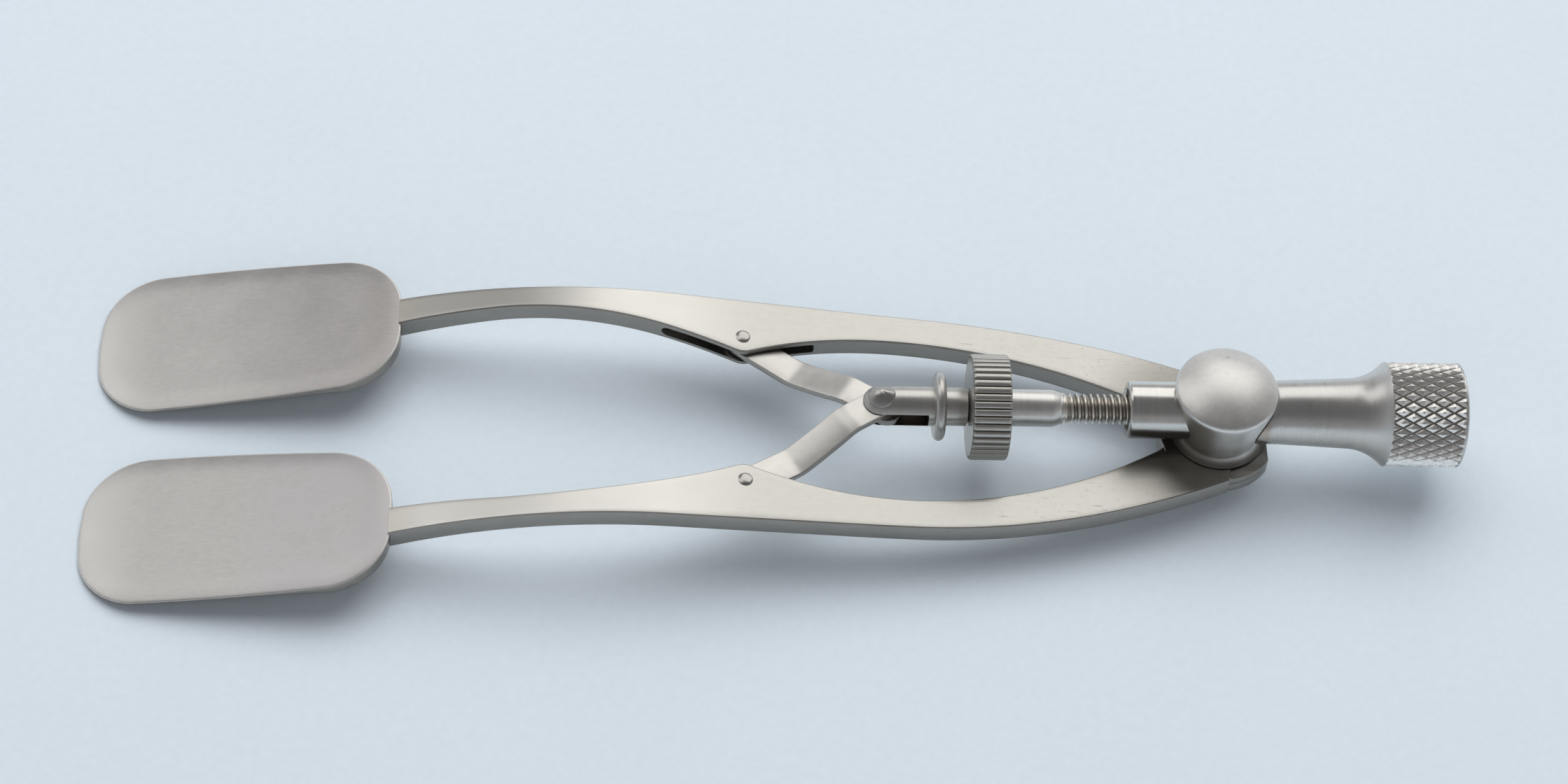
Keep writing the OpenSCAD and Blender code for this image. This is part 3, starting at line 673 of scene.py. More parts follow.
# The yoke: a turned flange and neck with two tines
def yoke_shape():
    ring = FLANGE_W / 2
    mid = -FLANGE_X + ring
    profile = [(-FORK_END_X, 0.0), (-FORK_END_X, YOKE_R), (mid - ring * 0.98, YOKE_R),
               (mid - ring * 0.9, YOKE_R + 0.05)]
    profile += [(mid - ring * cos(a), FLANGE_R - ring + ring * sin(a))
                for a in (pi * k / 16 for k in range(17))]
    end = -NECK_END_X
    profile += [(mid + ring * 0.9, NECK_R + 0.05), (mid + ring * 1.05, NECK_R),
                (end - 0.09, NECK_R), (end - 0.03, NECK_R - 0.03), (end, NECK_R - 0.1), (end, 0.0)]
    shape = lathe_x(profile, 96)
    flat = FORK_H / 2
    tip = sqrt(YOKE_R ** 2 - flat ** 2)
    xs = [-FORK_END_X + 0.05] + [-FORK_END_X - (PIN_X - FORK_END_X) * k / 8 for k in range(1, 9)]
    xs += [-PIN_X - tip * sin(pi / 2 * k / 18) for k in range(1, 18)]
    for up in (1, -1):
        rings = []
        for x in xs:
            r = YOKE_R if x > -PIN_X else sqrt(YOKE_R ** 2 - (x + PIN_X) ** 2)
            r = max(r, flat + 0.003)
            half = acos(flat / r)
            steps = [-half + 2 * half * k / 24 for k in range(25)]
            loop = [(x, r * sin(a), AXIS_Z + up * r * cos(a)) for a in steps]
            loop += [(x, r * sin(half) * (1 - 2 * t), AXIS_Z + up * flat) for t in EIGHTHS]
            rings.append(loop)
        shape.loft(rings, cap_start=True, cap_end=True)
    return shape


def yoke_pin_shape():
    """The pin's lower end is dressed flush, and its upper end is hammered out to a low cone."""
    low = AXIS_Z - YOKE_R
    high = AXIS_Z + 0.7
    shape = lathe_z([(low + 0.02, 0.0), (low + 0.02, 0.3), (low + 0.09, PIN_R), (high, PIN_R),
                     (high, 0.0)], 48, (-PIN_X, 0.0))

    def ring(radius, proud=None, level=0.0):
        """A ring that stands proud of the yoke under it, or lies level."""
        out = []
        for a in turns(40):
            x, y = radius * cos(a), radius * sin(a)
            z = level
            if proud is not None:
                z = sqrt(YOKE_R ** 2 - y * y - (x * x if x < 0 else 0.0))
                uneven = 0.14 * sin(3 * a + 1) + 0.08 * sin(5 * a + 2)
                z += proud * (1 + radius * uneven)
            out.append((-PIN_X + x, y, AXIS_Z + z))
        return out
    cone = ((0.8, -0.1), (0.8, 0.035), (0.77, 0.06), (0.66, 0.1), (0.5, 0.155), (0.34, 0.21),
            (0.2, 0.25), (0.1, 0.265))
    apex = (-PIN_X, 0.0, AXIS_Z + YOKE_R + 0.27)
    rings = [ring(0.74, level=0.45)] + [ring(radius, proud) for radius, proud in cone] + [[apex]]
    return shape.loft(rings, cap_start=True)


# The screw
def wheel_shape():
    depth, bevel, side = 0.17, 0.16, 0.6
    front, rear = -WHEEL_FRONT_X, -WHEEL_FRONT_X + WHEEL_W

    def crest(a, cap=9.0):
        p = (a / (2 * pi) * WHEEL_RIDGES) % 1.0
        rise = sqrt(1 - (1 - 2 * min(p, 1 - p)) ** 2.6)
        return min(cap, WHEEL_R - depth * (1 - rise))

    def shoulder(x, way):
        """The rounded corner between the wheel's face and its rim."""
        rows = []
        for k in range(5):
            t = pi / 2 * k / 4
            cap = WHEEL_R - bevel + bevel * sin(t)
            rows.append((x + way * bevel * (1 - cos(t)), lambda a, cap=cap: crest(a, cap)))
        return rows
    rows = [(front, r) for r in (SPINDLE_R, WHEEL_FACE_R, WHEEL_R - 0.5)] + shoulder(front, 1)
    rows += [(x, crest) for x in (front + side, front + WHEEL_W / 2, rear - side)]
    rows += shoulder(rear, -1)[::-1]
    rows += [(rear, r) for r in (WHEEL_R - 0.5, WHEEL_FACE_R, SPINDLE_R)] + rows[:1]
    return lathe_x(rows, WHEEL_RIDGES * 12)


def spindle_shape():
    """A smooth spindle with a cone at its rear end, where the thread begins to bite."""
    front, rear = -WHEEL_FRONT_X, -THREAD_FRONT_X
    profile = [(front - 0.1, 0.0), (front - 0.1, SPINDLE_R - 0.3), (front - 0.02, SPINDLE_R - 0.12),
               (front, SPINDLE_R - 0.05), (front + WHEEL_W + 0.03, SPINDLE_R),
               (rear - 0.6, SPINDLE_R), (rear - 0.54, SPINDLE_R - 0.012), (rear - 0.22, 0.96),
               (rear - 0.17, 0.935), (rear - 0.12, 0.9), (rear - 0.05, 0.925), (rear, 0.915),
               (rear, 0.0)]
    return lathe_x(profile, 96)


def thread_shape():
    """A helical thread with narrow crests over a wide root, shallow where it runs out."""
    per_pitch, run_out, shallow, proud = 14, 0.75, 0.19, 0.04
    length = THREAD_TURNS * THREAD_PITCH
    rows = THREAD_TURNS * per_pitch

    def radius(x, a):
        p = (x / THREAD_PITCH - a / (2 * pi)) % 1.0
        lift = smooth((abs(2 * p - 1) - 0.2) / 0.7)
        fade = 1 - smooth(x / run_out)
        root, crest = THREAD_ROOT_R + shallow * fade, THREAD_R + proud * fade
        end = smooth((length - x) / THREAD_PITCH)
        return root + (crest - root) * lift * end
    front = -THREAD_FRONT_X - 0.6
    tail = -THREAD_FRONT_X + length + 1.0
    profile = [(front, 0.0), (front, THREAD_ROOT_R)]
    profile += [(-THREAD_FRONT_X + x, lambda a, x=x: radius(x, a))
                for x in (length * i / rows for i in range(rows + 1))]
    profile += [(tail - 0.15, THREAD_ROOT_R), (tail, THREAD_ROOT_R - 0.15), (tail, 0.0)]
    return lathe_x(profile, 72)


def sleeve_shape():
    front, inside = -SLEEVE_X, -SLEEVE_X + 2.2
    profile = rounded([(inside, CORE_R), (inside, BORE_R), (front + 0.06, BORE_R),
                       (front, BORE_R + 0.08), (front, SLEEVE_R), (-1.4, SLEEVE_R),
                       (-1.4, CORE_R), (inside, CORE_R)], [0, 0, 0.02, 0.02, 0.3, 0, 0, 0], 8)
    return lathe_x(profile, 128)


def bush_shape():
    front = -SLEEVE_X + 0.25
    profile = rounded([(front + 3.6, THREAD_R + 0.04), (front, THREAD_R + 0.04), (front, BORE_R),
                       (front + 3.6, BORE_R)], [0, 0.06, 0.04, 0], 4)
    profile.append(profile[0])
    return lathe_x(profile, 96)


# The pivot
def post_shape():
    foot = ARM_Z + 0.03
    flare_top = ARM_Z + POST_FLARE_H
    rim = ARM_Z + POST_RIM_H
    out = POST_FOOT_R - POST_WAIST_R
    curve = (0.5 ** 2 + out ** 2) / (2 * out)
    profile = [(foot, 0.0), (foot, POST_FOOT_R - 0.05), (foot + 0.02, POST_FOOT_R)]
    for k in range(9):
        z = foot + 0.06 + 0.5 * k / 8
        profile.append((z, POST_WAIST_R + curve - sqrt(curve ** 2 - (flare_top - z) ** 2)))
    dome = dome_profile(rim, POST_RIM_R, DOME_H, 26)
    corner = rounded([(flare_top, POST_WAIST_R), (rim, POST_RIM_R), dome[6]], [0, 0.3, 0], 10)
    profile += [(flare_top + (rim - flare_top) * t,
                 POST_WAIST_R + (POST_RIM_R - POST_WAIST_R) * t) for t in (0.25, 0.5, 0.75)]
    profile += corner[1:-1]
    profile += [p for p in dome if p[0] > corner[-2][0] + 0.03]
    return lathe_z(profile, 192)


def washer_shape():
    top = NUT_Z
    high = top + 0.12
    profile = [(high, SHANK_R), (top, SHANK_R), (top, WASHER_R - 0.02), (top + 0.02, WASHER_R),
               (top + 0.1, WASHER_R), (high, WASHER_R - 0.02), (high, SHANK_R)]
    return lathe_z(profile, 96)


def nut_shape():
    """A round nut with the shank's end showing in it, dressed level."""
    profile = [(0.06, 0.0), (0.06, SHANK_R - 0.1), (0.0, SHANK_R - 0.06), (0.0, SHANK_R - 0.02)]
    profile += [(0.07, SHANK_R), (0.0, SHANK_R + 0.06), (0.0, NUT_R - 0.15), (0.04, NUT_R - 0.06)]
    profile += [(0.15, NUT_R), (NUT_Z - 0.06, NUT_R), (NUT_Z, NUT_R - 0.05), (NUT_Z, 0.0)]
    return lathe_z(profile, 96)


# The handle
def collar_shape():
    """The handle's front end, hollowed to the post with a fine gap."""
    gap, count = 0.05, 160
    lean = (POST_RIM_R - POST_WAIST_R) / (POST_RIM_H - POST_FLARE_H)

    def start(r, a):
        y, z = r * cos(a), r * sin(a)
        post_r = POST_WAIST_R + lean * (z + AXIS_H - POST_FLARE_H) + gap
        return sqrt(max(0.0, post_r ** 2 - y * y))

    def ring(r, back):
        return [(start(r, a) + back, r * cos(a), AXIS_Z + r * sin(a))
                for a in turns(count)]
    end = COLLAR_END_X
    rings = [ring(HOLLOW_R, 0.0), ring(STEM_R - 0.04, 0.0), ring(STEM_R - 0.01, 0.012),
             ring(STEM_R, 0.04), ring_x(end - 0.3, STEM_R, count), ring_x(end, STEM_R, count),
             ring_x(end, HOLLOW_R, count)]
    return Shape().loft(rings + rings[:1])


def handle_shape():
    """A stem that swells to a diamond-knurled knob: low pyramids between narrow grooves."""
    slope, groove, dimple, step = 0.2, 0.05, 0.02, 0.03
    flare = ((KNOB_X - FLARE_X) ** 2 + (KNOB_R - STEM_END_R) ** 2) / (2 * (KNOB_R - STEM_END_R))
    rows = [(COLLAR_END_X, HOLLOW_R)]
    rows += [(COLLAR_END_X + (FLARE_X - COLLAR_END_X) * t, STEM_R + (STEM_END_R - STEM_R) * t)
             for t in (k / 6 for k in range(7))]
    steps = 20
    for k in range(1, steps + 1):
        x = FLARE_X + (KNOB_X - FLARE_X) * k / steps
        r = STEM_END_R + flare - sqrt(flare ** 2 - (x - FLARE_X) ** 2)
        rows.append((x, r - step if k == steps else r))

    def knurl(x, a):
        """How far the surface lies under the knob's radius."""
        u = a / (2 * pi) * DIAMONDS
        v = (x - KNOB_X) / DIAMOND_LEN
        near = 1 - max(abs((u + v) % 1.0 - 0.5) * 2, abs((u - v) % 1.0 - 0.5) * 2)
        drop = slope * (1 - near) + groove * (1 - smooth(near / 0.2))
        drop += dimple * smooth((near - 0.8) / 0.2)
        ends = smooth((x - KNOB_X) / 0.12) * smooth((KNOB_END_X - 0.1 - x) / 0.12)
        return drop * ends + step * (1 - ends)
    n = 130
    for k in range(n + 1):
        x = KNOB_X + 0.02 + (KNOB_LEN - 0.1) * k / n
        rows.append((x, lambda a, x=x: KNOB_R - knurl(x, a)))
    rows += [(KNOB_END_X - 0.05, KNOB_R - step), (KNOB_END_X, KNOB_R - 0.1), (KNOB_END_X, 1.0)]
    return lathe_x(rows + rows[:1], DIAMONDS * 20)


def cap_shape():
    dome = dome_profile(KNOB_END_X + 0.06, CAP_R - 0.05, CAP_DOME - 0.06, 20)
    profile = [(KNOB_END_X - 0.1, 0.0), (KNOB_END_X - 0.1, CAP_R - 0.05), (KNOB_END_X, CAP_R)]
    profile += [(KNOB_END_X + 0.03, CAP_R - 0.005)] + dome
    return lathe_x(profile, 160)


# Materials
def add(tree, kind, inputs=None, **settings):
    """A shader node with its settings, and its inputs set or linked by name or number."""
    n = tree.nodes.new("ShaderNode" + kind)
    for key, value in settings.items():
        setattr(n, key, value)
    for key, value in (inputs or {}).items():
        if isinstance(value, bpy.types.NodeSocket):
            tree.links.new(value, n.inputs[key])
        else:
            n.inputs[key].default_value = value
    return n


def math_node(tree, operation, a, b=0.0, c=0.0, clamp=False):
    n = add(tree, "Math", {0: a, 1: b, 2: c}, operation=operation, use_clamp=clamp)
    return n.outputs[0]


def times(tree, a, b, clamp=False):
    return math_node(tree, "MULTIPLY", a, b, clamp=clamp)


def minus(tree, a, b):
    return math_node(tree, "SUBTRACT", a, b)


def plus_times(tree, level, a, share):
    """A level with a share of a added."""
    return math_node(tree, "MULTIPLY_ADD", a, share, level)


def radius_of(tree, a, b):
    return math_node(tree, "SQRT", math_node(tree, "ADD", times(tree, a, a), times(tree, b, b)))


def span(tree, value, low, high, to_low=0.0, to_high=1.0):
    """A smooth step of a value from one level to another."""
    n = add(tree, "MapRange", {"Value": value, "From Min": low, "From Max": high,
                               "To Min": to_low, "To Max": to_high},
            interpolation_type="SMOOTHSTEP")
    return n.outputs["Result"]


def mixed(tree, share, a, b, blend="MIX"):
    n = add(tree, "Mix", data_type="RGBA", blend_type=blend, clamp_factor=True)
    for key, value in ((0, share), (6, a), (7, b)):
        if isinstance(value, bpy.types.NodeSocket):
            tree.links.new(value, n.inputs[key])
        else:
            n.inputs[key].default_value = value if key == 0 else (*value, 1.0)
    return n.outputs[2]


def toned(tree, tone, light):
    """A colour times a level of light."""
    shade = add(tree, "CombineColor", {0: light, 1: light, 2: light}).outputs[0]
    return mixed(tree, 1.0, tone, shade, "MULTIPLY")


def noise(tree, vector, scale, detail, roughness):
    return add(tree, "TexNoise", {"Vector": vector, "Scale": scale, "Detail": detail,
                                  "Roughness": roughness}).outputs[0]


def empty_tree(owner):
    owner.use_nodes = True
    owner.node_tree.nodes.clear()
    return owner.node_tree


class Steel:
    """Bare steel with a grain that follows how each piece was finished."""

    def __init__(self, name, tone, rough, grain_along="x", fine=6000, long=400, streak=0.12,
                 bump=1.0, blotch=0.12, rough_vary=0.12):
        self.material = bpy.data.materials.new(name)
        self.tree = t = empty_tree(self.material)
        self.bump = bump
        self.place = add(t, "TexCoord").outputs["Object"]
        self.x, self.y, self.z = add(t, "SeparateXYZ", {0: self.place}).outputs
        self.up = minus(t, self.z, AXIS_Z * MM)
        self.axis_r = radius_of(t, self.y, self.up)
        self.post_r = radius_of(t, self.x, self.y)
        if grain_along == "turned_x":
            flow = self.turned(self.x, self.axis_r, fine, long)
        elif grain_along == "turned_z":
            flow = self.turned(self.z, self.post_r, fine, long)
        else:
            scale = (long if grain_along == "x" else fine, fine, fine)
            flow = add(t, "Mapping", {"Vector": self.place, "Scale": scale}).outputs[0]
        self.grain = noise(t, flow, 1.0, 3.0, 0.6)
        self.patch = noise(t, self.place, 420.0, 4.0, 0.55)
        mottle = noise(t, self.place, 2400.0, 3.0, 0.6)
        light = plus_times(t, 1 - streak / 2, self.grain, streak)
        light = plus_times(t, light, minus(t, self.patch, 0.5), blotch * 2)
        light = plus_times(t, light, minus(t, mottle, 0.5), blotch)
        self.colour = toned(t, tone, light)
        self.rough = plus_times(t, rough, minus(t, self.grain, 0.5), rough_vary)
        self.rough = plus_times(t, self.rough, minus(t, self.patch, 0.5), rough_vary)

    def turned(self, along, radius, fine, long):
        t = self.tree
        rings = add(t, "CombineXYZ", {0: times(t, along, fine), 1: times(t, radius, fine),
                                      2: 0.0}).outputs[0]
        drift = add(t, "VectorMath", {0: self.place, 1: (long, long, long)},
                    operation="MULTIPLY").outputs[0]
        return add(t, "VectorMath", {0: rings, 1: drift}, operation="ADD").outputs[0]

    def tint(self, mask, colour, share=1.0, blend="MIX"):
        """Mixes a colour in where the mask is 1."""
        amount = times(self.tree, mask, share, clamp=True)
        self.colour = mixed(self.tree, amount, self.colour, colour, blend)
        return self

    def roughen(self, mask, amount):
        self.rough = plus_times(self.tree, self.rough, mask, amount)
        return self

    def done(self):
        t = self.tree
        normal = add(t, "Bump", {"Height": self.grain, "Strength": 1.0,
                                 "Distance": self.bump * 1e-6}).outputs[0]
        rough = math_node(t, "MAXIMUM", math_node(t, "MINIMUM", self.rough, 0.9), 0.08)
        shader = add(t, "BsdfPrincipled", {"Base Color": self.colour, "Metallic": 1.0,
                                           "Roughness": rough, "Normal": normal})
        add(t, "OutputMaterial", {0: shader.outputs[0]})
        return self.material


def arm_steel():
    s = Steel("arm_steel", (0.62, 0.61, 0.575), 0.32, long=240, streak=0.18, bump=2.0, blotch=0.1)
    t = s.tree
    # Short scratches on the flats beside the pivot
    turned = add(t, "Mapping", {"Vector": s.place, "Rotation": (0, 0, 0.5),
                                "Scale": (500, 5200, 400)})
    lines = noise(t, turned.outputs[0], 1.0, 2.0, 0.5)
    near = span(t, s.x, -0.019, -0.009)
    away = span(t, s.x, -0.004, -0.007)
    scratch = (0.3, 0.29, 0.27)
    s.tint(times(t, span(t, lines, 0.66, 0.74), times(t, near, away)), scratch, 0.8)
    pits = noise(t, s.place, 5200.0, 2.0, 0.5)
    s.tint(times(t, span(t, pits, 0.66, 0.72), near), scratch, 0.5)
    s.tint(span(t, s.x, -0.026, -0.033), (0.76, 0.75, 0.71), 0.9)
    # In front of the blade both arms are rougher, and the right arm is darker
    front = span(t, s.x, -0.0345, -0.0415)
    s.tint(times(t, front, span(t, s.y, 0.0, 0.002)), (0.62, 0.62, 0.62), 1.0, "MULTIPLY")
    s.roughen(front, 0.06)
    # Painted shade round the post: the arms are darker near it, standing in for its shade and its
    # dark reflection
    s.tint(span(t, s.post_r, 0.0088, 0.0040), (0.5, 0.49, 0.475), 0.85, "MULTIPLY")
    # The braze at the blade leaves a faint brown shade
    s.tint(span(t, s.x, -0.0458, -0.0478), (0.5, 0.45, 0.39), 0.35)
    return s.done()


def painted_light_steel(name, tone, rough):
    """The upright faces and the blade's rim, with the grain of faces left as they were milled;
    their tone is painted light, darker for painted shade and lighter for a painted highlight.
    """
    return Steel(name, tone, rough, fine=6500, long=300, streak=0.2, bump=1.6).done()


def blade_steel():
    s = Steel("blade_steel", (0.60, 0.59, 0.575), 0.4, fine=10500, long=520, streak=0.34,
              bump=2.4, rough_vary=0.14)
    t = s.tree
    heat = span(t, s.x, -0.0508, -0.0480)
    s.tint(times(t, heat, span(t, s.patch, 0.35, 0.65)), (0.5, 0.455, 0.4), 0.3)
    # The left blade has a faint violet bloom near its root
    bloom = times(t, span(t, s.x, -0.0570, -0.0535), span(t, s.y, 0.0, -0.002))
    s.tint(times(t, bloom, span(t, s.patch, 0.3, 0.6)), (0.6, 0.58, 0.62), 0.6)
    # The right blade is darker towards its root
    darker_root = times(t, span(t, s.x, -0.0600, -0.0520), span(t, s.y, 0.0, 0.002))
    s.tint(darker_root, (0.84, 0.83, 0.84), 1.0, "MULTIPLY")
    # Painted highlight: the blade is lighter towards the tip
    s.tint(span(t, s.x, -0.0615, -0.0655), (0.74, 0.73, 0.705), 0.8)
    return s.done()


def shade_below(s, tone):
    """Painted shade: darkens the lower front of a turned piece, below its axis on the -Y side."""
    t = s.tree
    low = span(t, math_node(t, "DIVIDE", s.up, s.axis_r), 0.45, -0.05)
    return s.tint(times(t, low, span(t, s.y, 0.0, -0.0004)), tone, 1.0, "MULTIPLY")


# low is the tone of the painted shade on the lower front
def bright_steel(name, tone, rough, low):
    s = Steel(name, tone, rough, "turned_x", fine=5200, long=260, streak=0.2, bump=1.6, blotch=0.1)
    return shade_below(s, low)


def wheel_steel():
    s = Steel("wheel_steel", (0.6, 0.585, 0.55), 0.36, "turned_x", fine=4500, bump=0.5, blotch=0.08)
    t = s.tree
    groove = span(t, s.axis_r, (WHEEL_R - 0.03) * MM, (WHEEL_R - 0.13) * MM)
    outer = span(t, s.axis_r, (WHEEL_R - 0.25) * MM, (WHEEL_R - 0.2) * MM)
    inside = times(t, groove, outer)
    s.tint(inside, (0.2, 0.18, 0.15), 0.8)
    s.roughen(inside, 0.2)
    return shade_below(s, (0.82, 0.8, 0.77)).done()


def thread_steel():
    s = Steel("thread_steel", (0.82, 0.79, 0.73), 0.24, "turned_x", long=600, bump=0.8)
    root = span(s.tree, s.axis_r, (THREAD_R - 0.025) * MM, (THREAD_R - 0.1) * MM)
    return s.tint(root, (0.36, 0.32, 0.275), 0.85).roughen(root, 0.16).done()


def knob_steel():
    s = bright_steel("knob_steel", (0.68, 0.67, 0.65), 0.29, (0.86, 0.835, 0.8))
    t = s.tree
    # The same diamonds as the mesh: 0 in a groove, 1 in the middle of a diamond
    u = times(t, math_node(t, "ARCTAN2", s.up, s.y), DIAMONDS / (2 * pi))
    v = times(t, minus(t, s.x, KNOB_X * MM), 1 / (DIAMOND_LEN * MM))

    def away(value):
        part = minus(t, math_node(t, "FLOORED_MODULO", value, 1.0), 0.5)
        return times(t, math_node(t, "ABSOLUTE", part), 2.0)
    near = minus(t, 1.0, math_node(t, "MAXIMUM", away(math_node(t, "ADD", u, v)),
                                   away(minus(t, u, v))))
    knob = times(t, span(t, s.x, (KNOB_X + 0.05) * MM, (KNOB_X + 0.15) * MM),
                 span(t, s.x, (KNOB_END_X - 0.1) * MM, (KNOB_END_X - 0.2) * MM))
    s.tint(knob, (0.95, 0.935, 0.9), 0.9)
    flare = span(t, s.x, FLARE_X * MM - 0.0016, FLARE_X * MM)
    s.roughen(times(t, flare, minus(t, 1.0, knob)), 0.05)
    groove = times(t, span(t, near, 0.2, 0.04), knob)
    s.tint(groove, (0.27, 0.255, 0.23), 0.7)
    s.roughen(groove, 0.15)
    # Brown residue with painted shade in the joint beside the post
    joint = span(t, s.x, 0.00285, 0.0024)
    s.tint(times(t, joint, span(t, s.patch, 0.35, 0.6)), (0.36, 0.27, 0.18), 0.6)
    return s.done()


def post_steel():
    s = Steel("post_steel", (0.83, 0.82, 0.795), 0.43, "blast", fine=6500, streak=0.22, bump=3.2,
              blotch=0.16)
    t = s.tree
    rim = (ARM_Z + POST_RIM_H) * MM
    # Painted shade: the cone under the rim is darker than the dome
    cone = span(t, s.z, rim - 0.0001, rim - 0.0005)
    s.tint(cone, (0.74, 0.725, 0.7), 1.0, "MULTIPLY")
    # Painted reflection: the cone is darker to the left and brighter to the right
    left = times(t, span(t, s.x, -0.0004, -0.0012), cone)
    s.tint(left, (0.78, 0.76, 0.72), 1.0, "MULTIPLY")
    s.tint(times(t, span(t, s.x, 0.0006, 0.0014), cone), (0.97, 0.96, 0.94))
    # Painted shade at the post's foot, where it stands on the arm; the foot is rougher too
    foot = span(t, s.z, (ARM_Z + 0.62) * MM, (ARM_Z + 0.1) * MM)
    s.tint(foot, (0.17, 0.155, 0.14), 0.8)
    s.roughen(foot, 0.2)
    # A small dark mark on the dome
    mark = (0.0001, 0.0019, rim + 0.0005)
    off = add(t, "VectorMath", {0: s.place, 1: mark}, operation="DISTANCE").outputs["Value"]
    s.tint(span(t, off, 0.00016, 0.00006), (0.25, 0.24, 0.23), 0.3)
    return s.done()


ARM = arm_steel()
BLADE = blade_steel()
# Painted light: the blade's rim is lighter as a painted highlight, and the sides of the arms,
# blades and links and the yoke's slot are darker as painted shade
BLADE_EDGE_HIGHLIGHT = painted_light_steel("blade_edge_painted_highlight", (0.9, 0.885, 0.85), 0.5)
ARM_SIDE_SHADE = painted_light_steel("arm_side_painted_shade", (0.34, 0.325, 0.3), 0.36)
BLADE_SIDE_SHADE = painted_light_steel("blade_side_painted_shade", (0.29, 0.27, 0.245), 0.3)
LINK_SIDE_SHADE = painted_light_steel("link_side_painted_shade", (0.4, 0.38, 0.35), 0.3)
SLOT_SIDE_SHADE = painted_light_steel("slot_side_painted_shade", (0.13, 0.105, 0.085), 0.5)
LINK = Steel("link_steel", (0.77, 0.755, 0.72), 0.38, fine=5000, long=900, streak=0.14, bump=1.6,
             blotch=0.16).done()
TURNED = bright_steel("turned_steel", (0.74, 0.73, 0.7), 0.2, (0.31, 0.295, 0.275)).done()
YOKE = bright_steel("yoke_steel", (0.66, 0.65, 0.62), 0.33, (0.86, 0.84, 0.8)).done()
SPINDLE = bright_steel("spindle_steel", (0.84, 0.83, 0.8), 0.36, (0.58, 0.565, 0.54)).done()
RIVET_MAT = Steel("rivet_steel", (0.52, 0.505, 0.48), 0.22, "blast", streak=0.16, bump=1.2,
                  blotch=0.1).done()
PIN_MAT = Steel("pin_steel", (0.54, 0.53, 0.51), 0.3, "blast", fine=5000, streak=0.14, bump=1.2,
                blotch=0.1).done()
WHEEL = wheel_steel()
THREAD = thread_steel()
KNOB = knob_steel()
POST = post_steel()
DARK = Steel("dark_steel", (0.4, 0.385, 0.36), 0.42, "turned_z", streak=0.15).done()
BUSH = Steel("bush_steel", (0.42, 0.39, 0.35), 0.35, "turned_x", streak=0.15).done()
def top_or_side(centre, normal):
    return 1 if normal.z < 0.5 else 0


def blade_face(centre, normal):
    facing = normal.z * cos(BLADE_TILT) - normal.x * sin(BLADE_TILT)
    return 1 if facing < 0.55 else 2 if facing < 0.96 else 0


def yoke_face(centre, normal):
    return 1 if abs(centre.z - AXIS_Z) < FORK_H / 2 + 0.01 and centre.x < 0.02 - FORK_END_X else 0


piece("right_arm", right_arm_shape(), "right_side", ARM, others=[ARM_SIDE_SHADE], pick=top_or_side)
piece("left_arm", left_arm_shape(), "left_side", ARM, others=[ARM_SIDE_SHADE], pick=top_or_side)
piece("right_blade", blade_shape(1), "right_side", BLADE, sharp=50,
      others=[BLADE_SIDE_SHADE, BLADE_EDGE_HIGHLIGHT], pick=blade_face)
piece("left_blade", blade_shape(-1), "left_side", BLADE, sharp=50,
      others=[BLADE_SIDE_SHADE, BLADE_EDGE_HIGHLIGHT], pick=blade_face)
piece("right_rivet", rivet_shape(1), "right_side", RIVET_MAT)
piece("left_rivet", rivet_shape(-1), "left_side", RIVET_MAT)
piece("right_link", link_shape(1), "right_strut", LINK, others=[LINK_SIDE_SHADE], pick=top_or_side)
piece("left_link", link_shape(-1), "left_strut", LINK, others=[LINK_SIDE_SHADE], pick=top_or_side)
piece("yoke", yoke_shape(), "slider", YOKE, sharp=40, bevel=0.035, others=[SLOT_SIDE_SHADE],
      pick=yoke_face)
piece("yoke_pin", yoke_pin_shape(), "slider", PIN_MAT, sharp=40)
piece("thumb_wheel", wheel_shape(), "screw", WHEEL, sharp=50)
piece("screw_spindle", spindle_shape(), "screw", SPINDLE)
piece("screw_thread", thread_shape(), "screw", THREAD, sharp=70)
piece("sleeve", sleeve_shape(), "frame", TURNED)
piece("thread_bush", bush_shape(), "frame", BUSH)
piece("pivot_post", post_shape(), "frame", POST, sharp=45)
piece("pivot_washer", washer_shape(), "frame", DARK)
piece("pivot_nut", nut_shape(), "frame", DARK)
piece("handle_collar", collar_shape(), "frame", KNOB)
piece("handle", handle_shape(), "frame", KNOB, sharp=38)
piece("end_cap", cap_shape(), "frame", KNOB)
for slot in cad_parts["journal_collar"].material_slots:
    slot.material = BUSH


# The table and the light
def floor():
    size, cells = 700.0, 28
    row = cells + 1
    steps = [size * (2 * i / cells - 1) for i in range(row)]
    firsts = [i * row + j for i in range(cells) for j in range(cells)]
    shape = Shape()
    shape.verts = [(x, y, 0.0) for x in steps for y in steps]
    shape.faces = [(a, a + row, a + row + 1, a + 1) for a in firsts]
    material = bpy.data.materials.new("table_paper")
    t = empty_tree(material)
    place = add(t, "TexCoord").outputs["Object"]
    cloud = noise(t, place, 45.0, 5.0, 0.6)
    fibre = noise(t, place, 1800.0, 3.0, 0.6)
    light = plus_times(t, 1.0, minus(t, cloud, 0.5), 0.06)
    light = plus_times(t, light, minus(t, fibre, 0.5), 0.08)
    bump = add(t, "Bump", {"Height": fibre, "Strength": 0.3, "Distance": 0.00003}).outputs[0]
    shader = add(t, "BsdfPrincipled", {"Base Color": toned(t, FLOOR_TONE, light),
                                       "Roughness": 0.75, "Normal": bump,
                                       "Specular IOR Level": 0.2})
    add(t, "OutputMaterial", {0: shader.outputs[0]})
    mesh = shape.mesh("table_top")
    mesh.materials.append(material)
    placed("table_top", mesh)


def turn(obj, right, up, back, spot):
    """Places an object by its own axes and its position."""
    rows = [[right[i], up[i], back[i], spot[i]] for i in range(3)]
    obj.matrix_world = Matrix(rows + [[0, 0, 0, 1]])


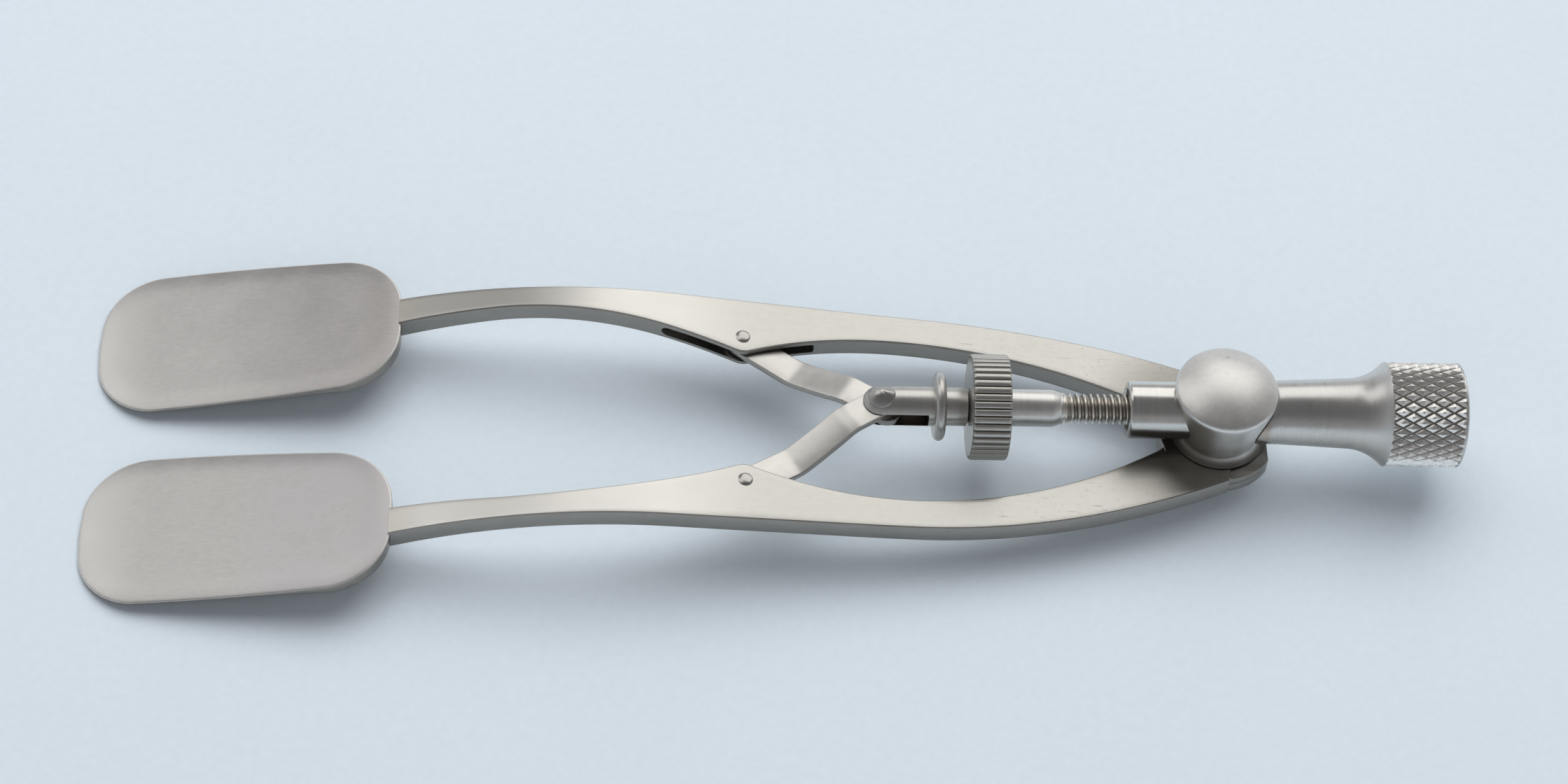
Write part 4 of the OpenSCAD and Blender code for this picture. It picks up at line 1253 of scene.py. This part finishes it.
def area(name, direction, distance, width, height, radiance, colour=(1, 1, 1), glossy=True):
    """A softbox in a direction from the middle of the arms, facing it."""
    d = np.array(direction, float)
    d /= np.linalg.norm(d)
    data = bpy.data.lights.new(name, "AREA")
    data.shape = "RECTANGLE"
    data.size, data.size_y = width, height
    data.energy = radiance * pi * width * height
    data.color = colour
    obj = placed(name, data)
    side = np.cross((0.0, 0.0, 1.0), d)
    side /= np.linalg.norm(side)
    turn(obj, side, np.cross(d, side), d, np.array((-0.02, 0.0, 0.0)) + d * distance)
    obj.visible_glossy = glossy


def studio():
    world = bpy.data.worlds.new("studio")
    bpy.context.scene.world = world
    t = empty_tree(world)
    way = add(t, "TexCoord").outputs["Generated"]
    x, y, z = add(t, "SeparateXYZ", {0: way}).outputs
    low = span(t, z, 0.45, 0.1)
    level = span(t, z, 0.75, 0.0, 0.14, 0.42)
    # The horizon is brighter behind and to the right, and darker in front
    horizon = ((y, 0.0, 0.7, 0.12), (x, 0.3, 0.9, 0.2), (y, -0.1, -0.7, -0.12))
    for value, near, far, share in horizon:
        level = plus_times(t, level, times(t, span(t, value, near, far), low), share)
    shade = add(t, "CombineColor", {0: level, 1: level, 2: times(t, level, 1.03)}).outputs[0]
    background = add(t, "Background", {"Color": shade, "Strength": 1.0})
    add(t, "OutputWorld", {0: background.outputs[0]})
    area("back_softbox", (0.24, 0.62, 0.72), 0.5, 0.46, 0.4, 1.1, (1.0, 0.985, 0.955))
    area("left_softbox", (-0.53, 0.4, 0.74), 0.5, 0.27, 0.46, 0.92, (1.0, 0.99, 0.975))
    area("overhead_fill", (0.1, 0.42, 0.9), 0.6, 0.7, 0.6, 1.6, glossy=False)
    area("front_fill", (-0.1, -0.75, 0.66), 0.6, 0.6, 0.5, 0.5, glossy=False)


def camera():
    """The camera that was fitted to the photograph."""
    data = bpy.data.cameras.new("camera")
    data.sensor_fit = "HORIZONTAL"
    data.sensor_width = 36.0
    data.lens = 86.489
    data.shift_x = -0.00902
    data.clip_start, data.clip_end = 0.01, 10.0
    right = (0.99797269, -0.02259026, 0.05949943)
    up = (-0.01756566, 0.80080434, 0.5986684)
    back = (-0.06117147, -0.59849986, 0.79878406)
    spot = (-38.0417 * MM, -129.7152 * MM, (176.176 + ARM_Z) * MM)
    obj = placed("camera", data)
    turn(obj, right, up, back, spot)
    bpy.context.scene.camera = obj


floor()
studio()
camera()
bpy.context.scene.view_settings.view_transform = "Standard"
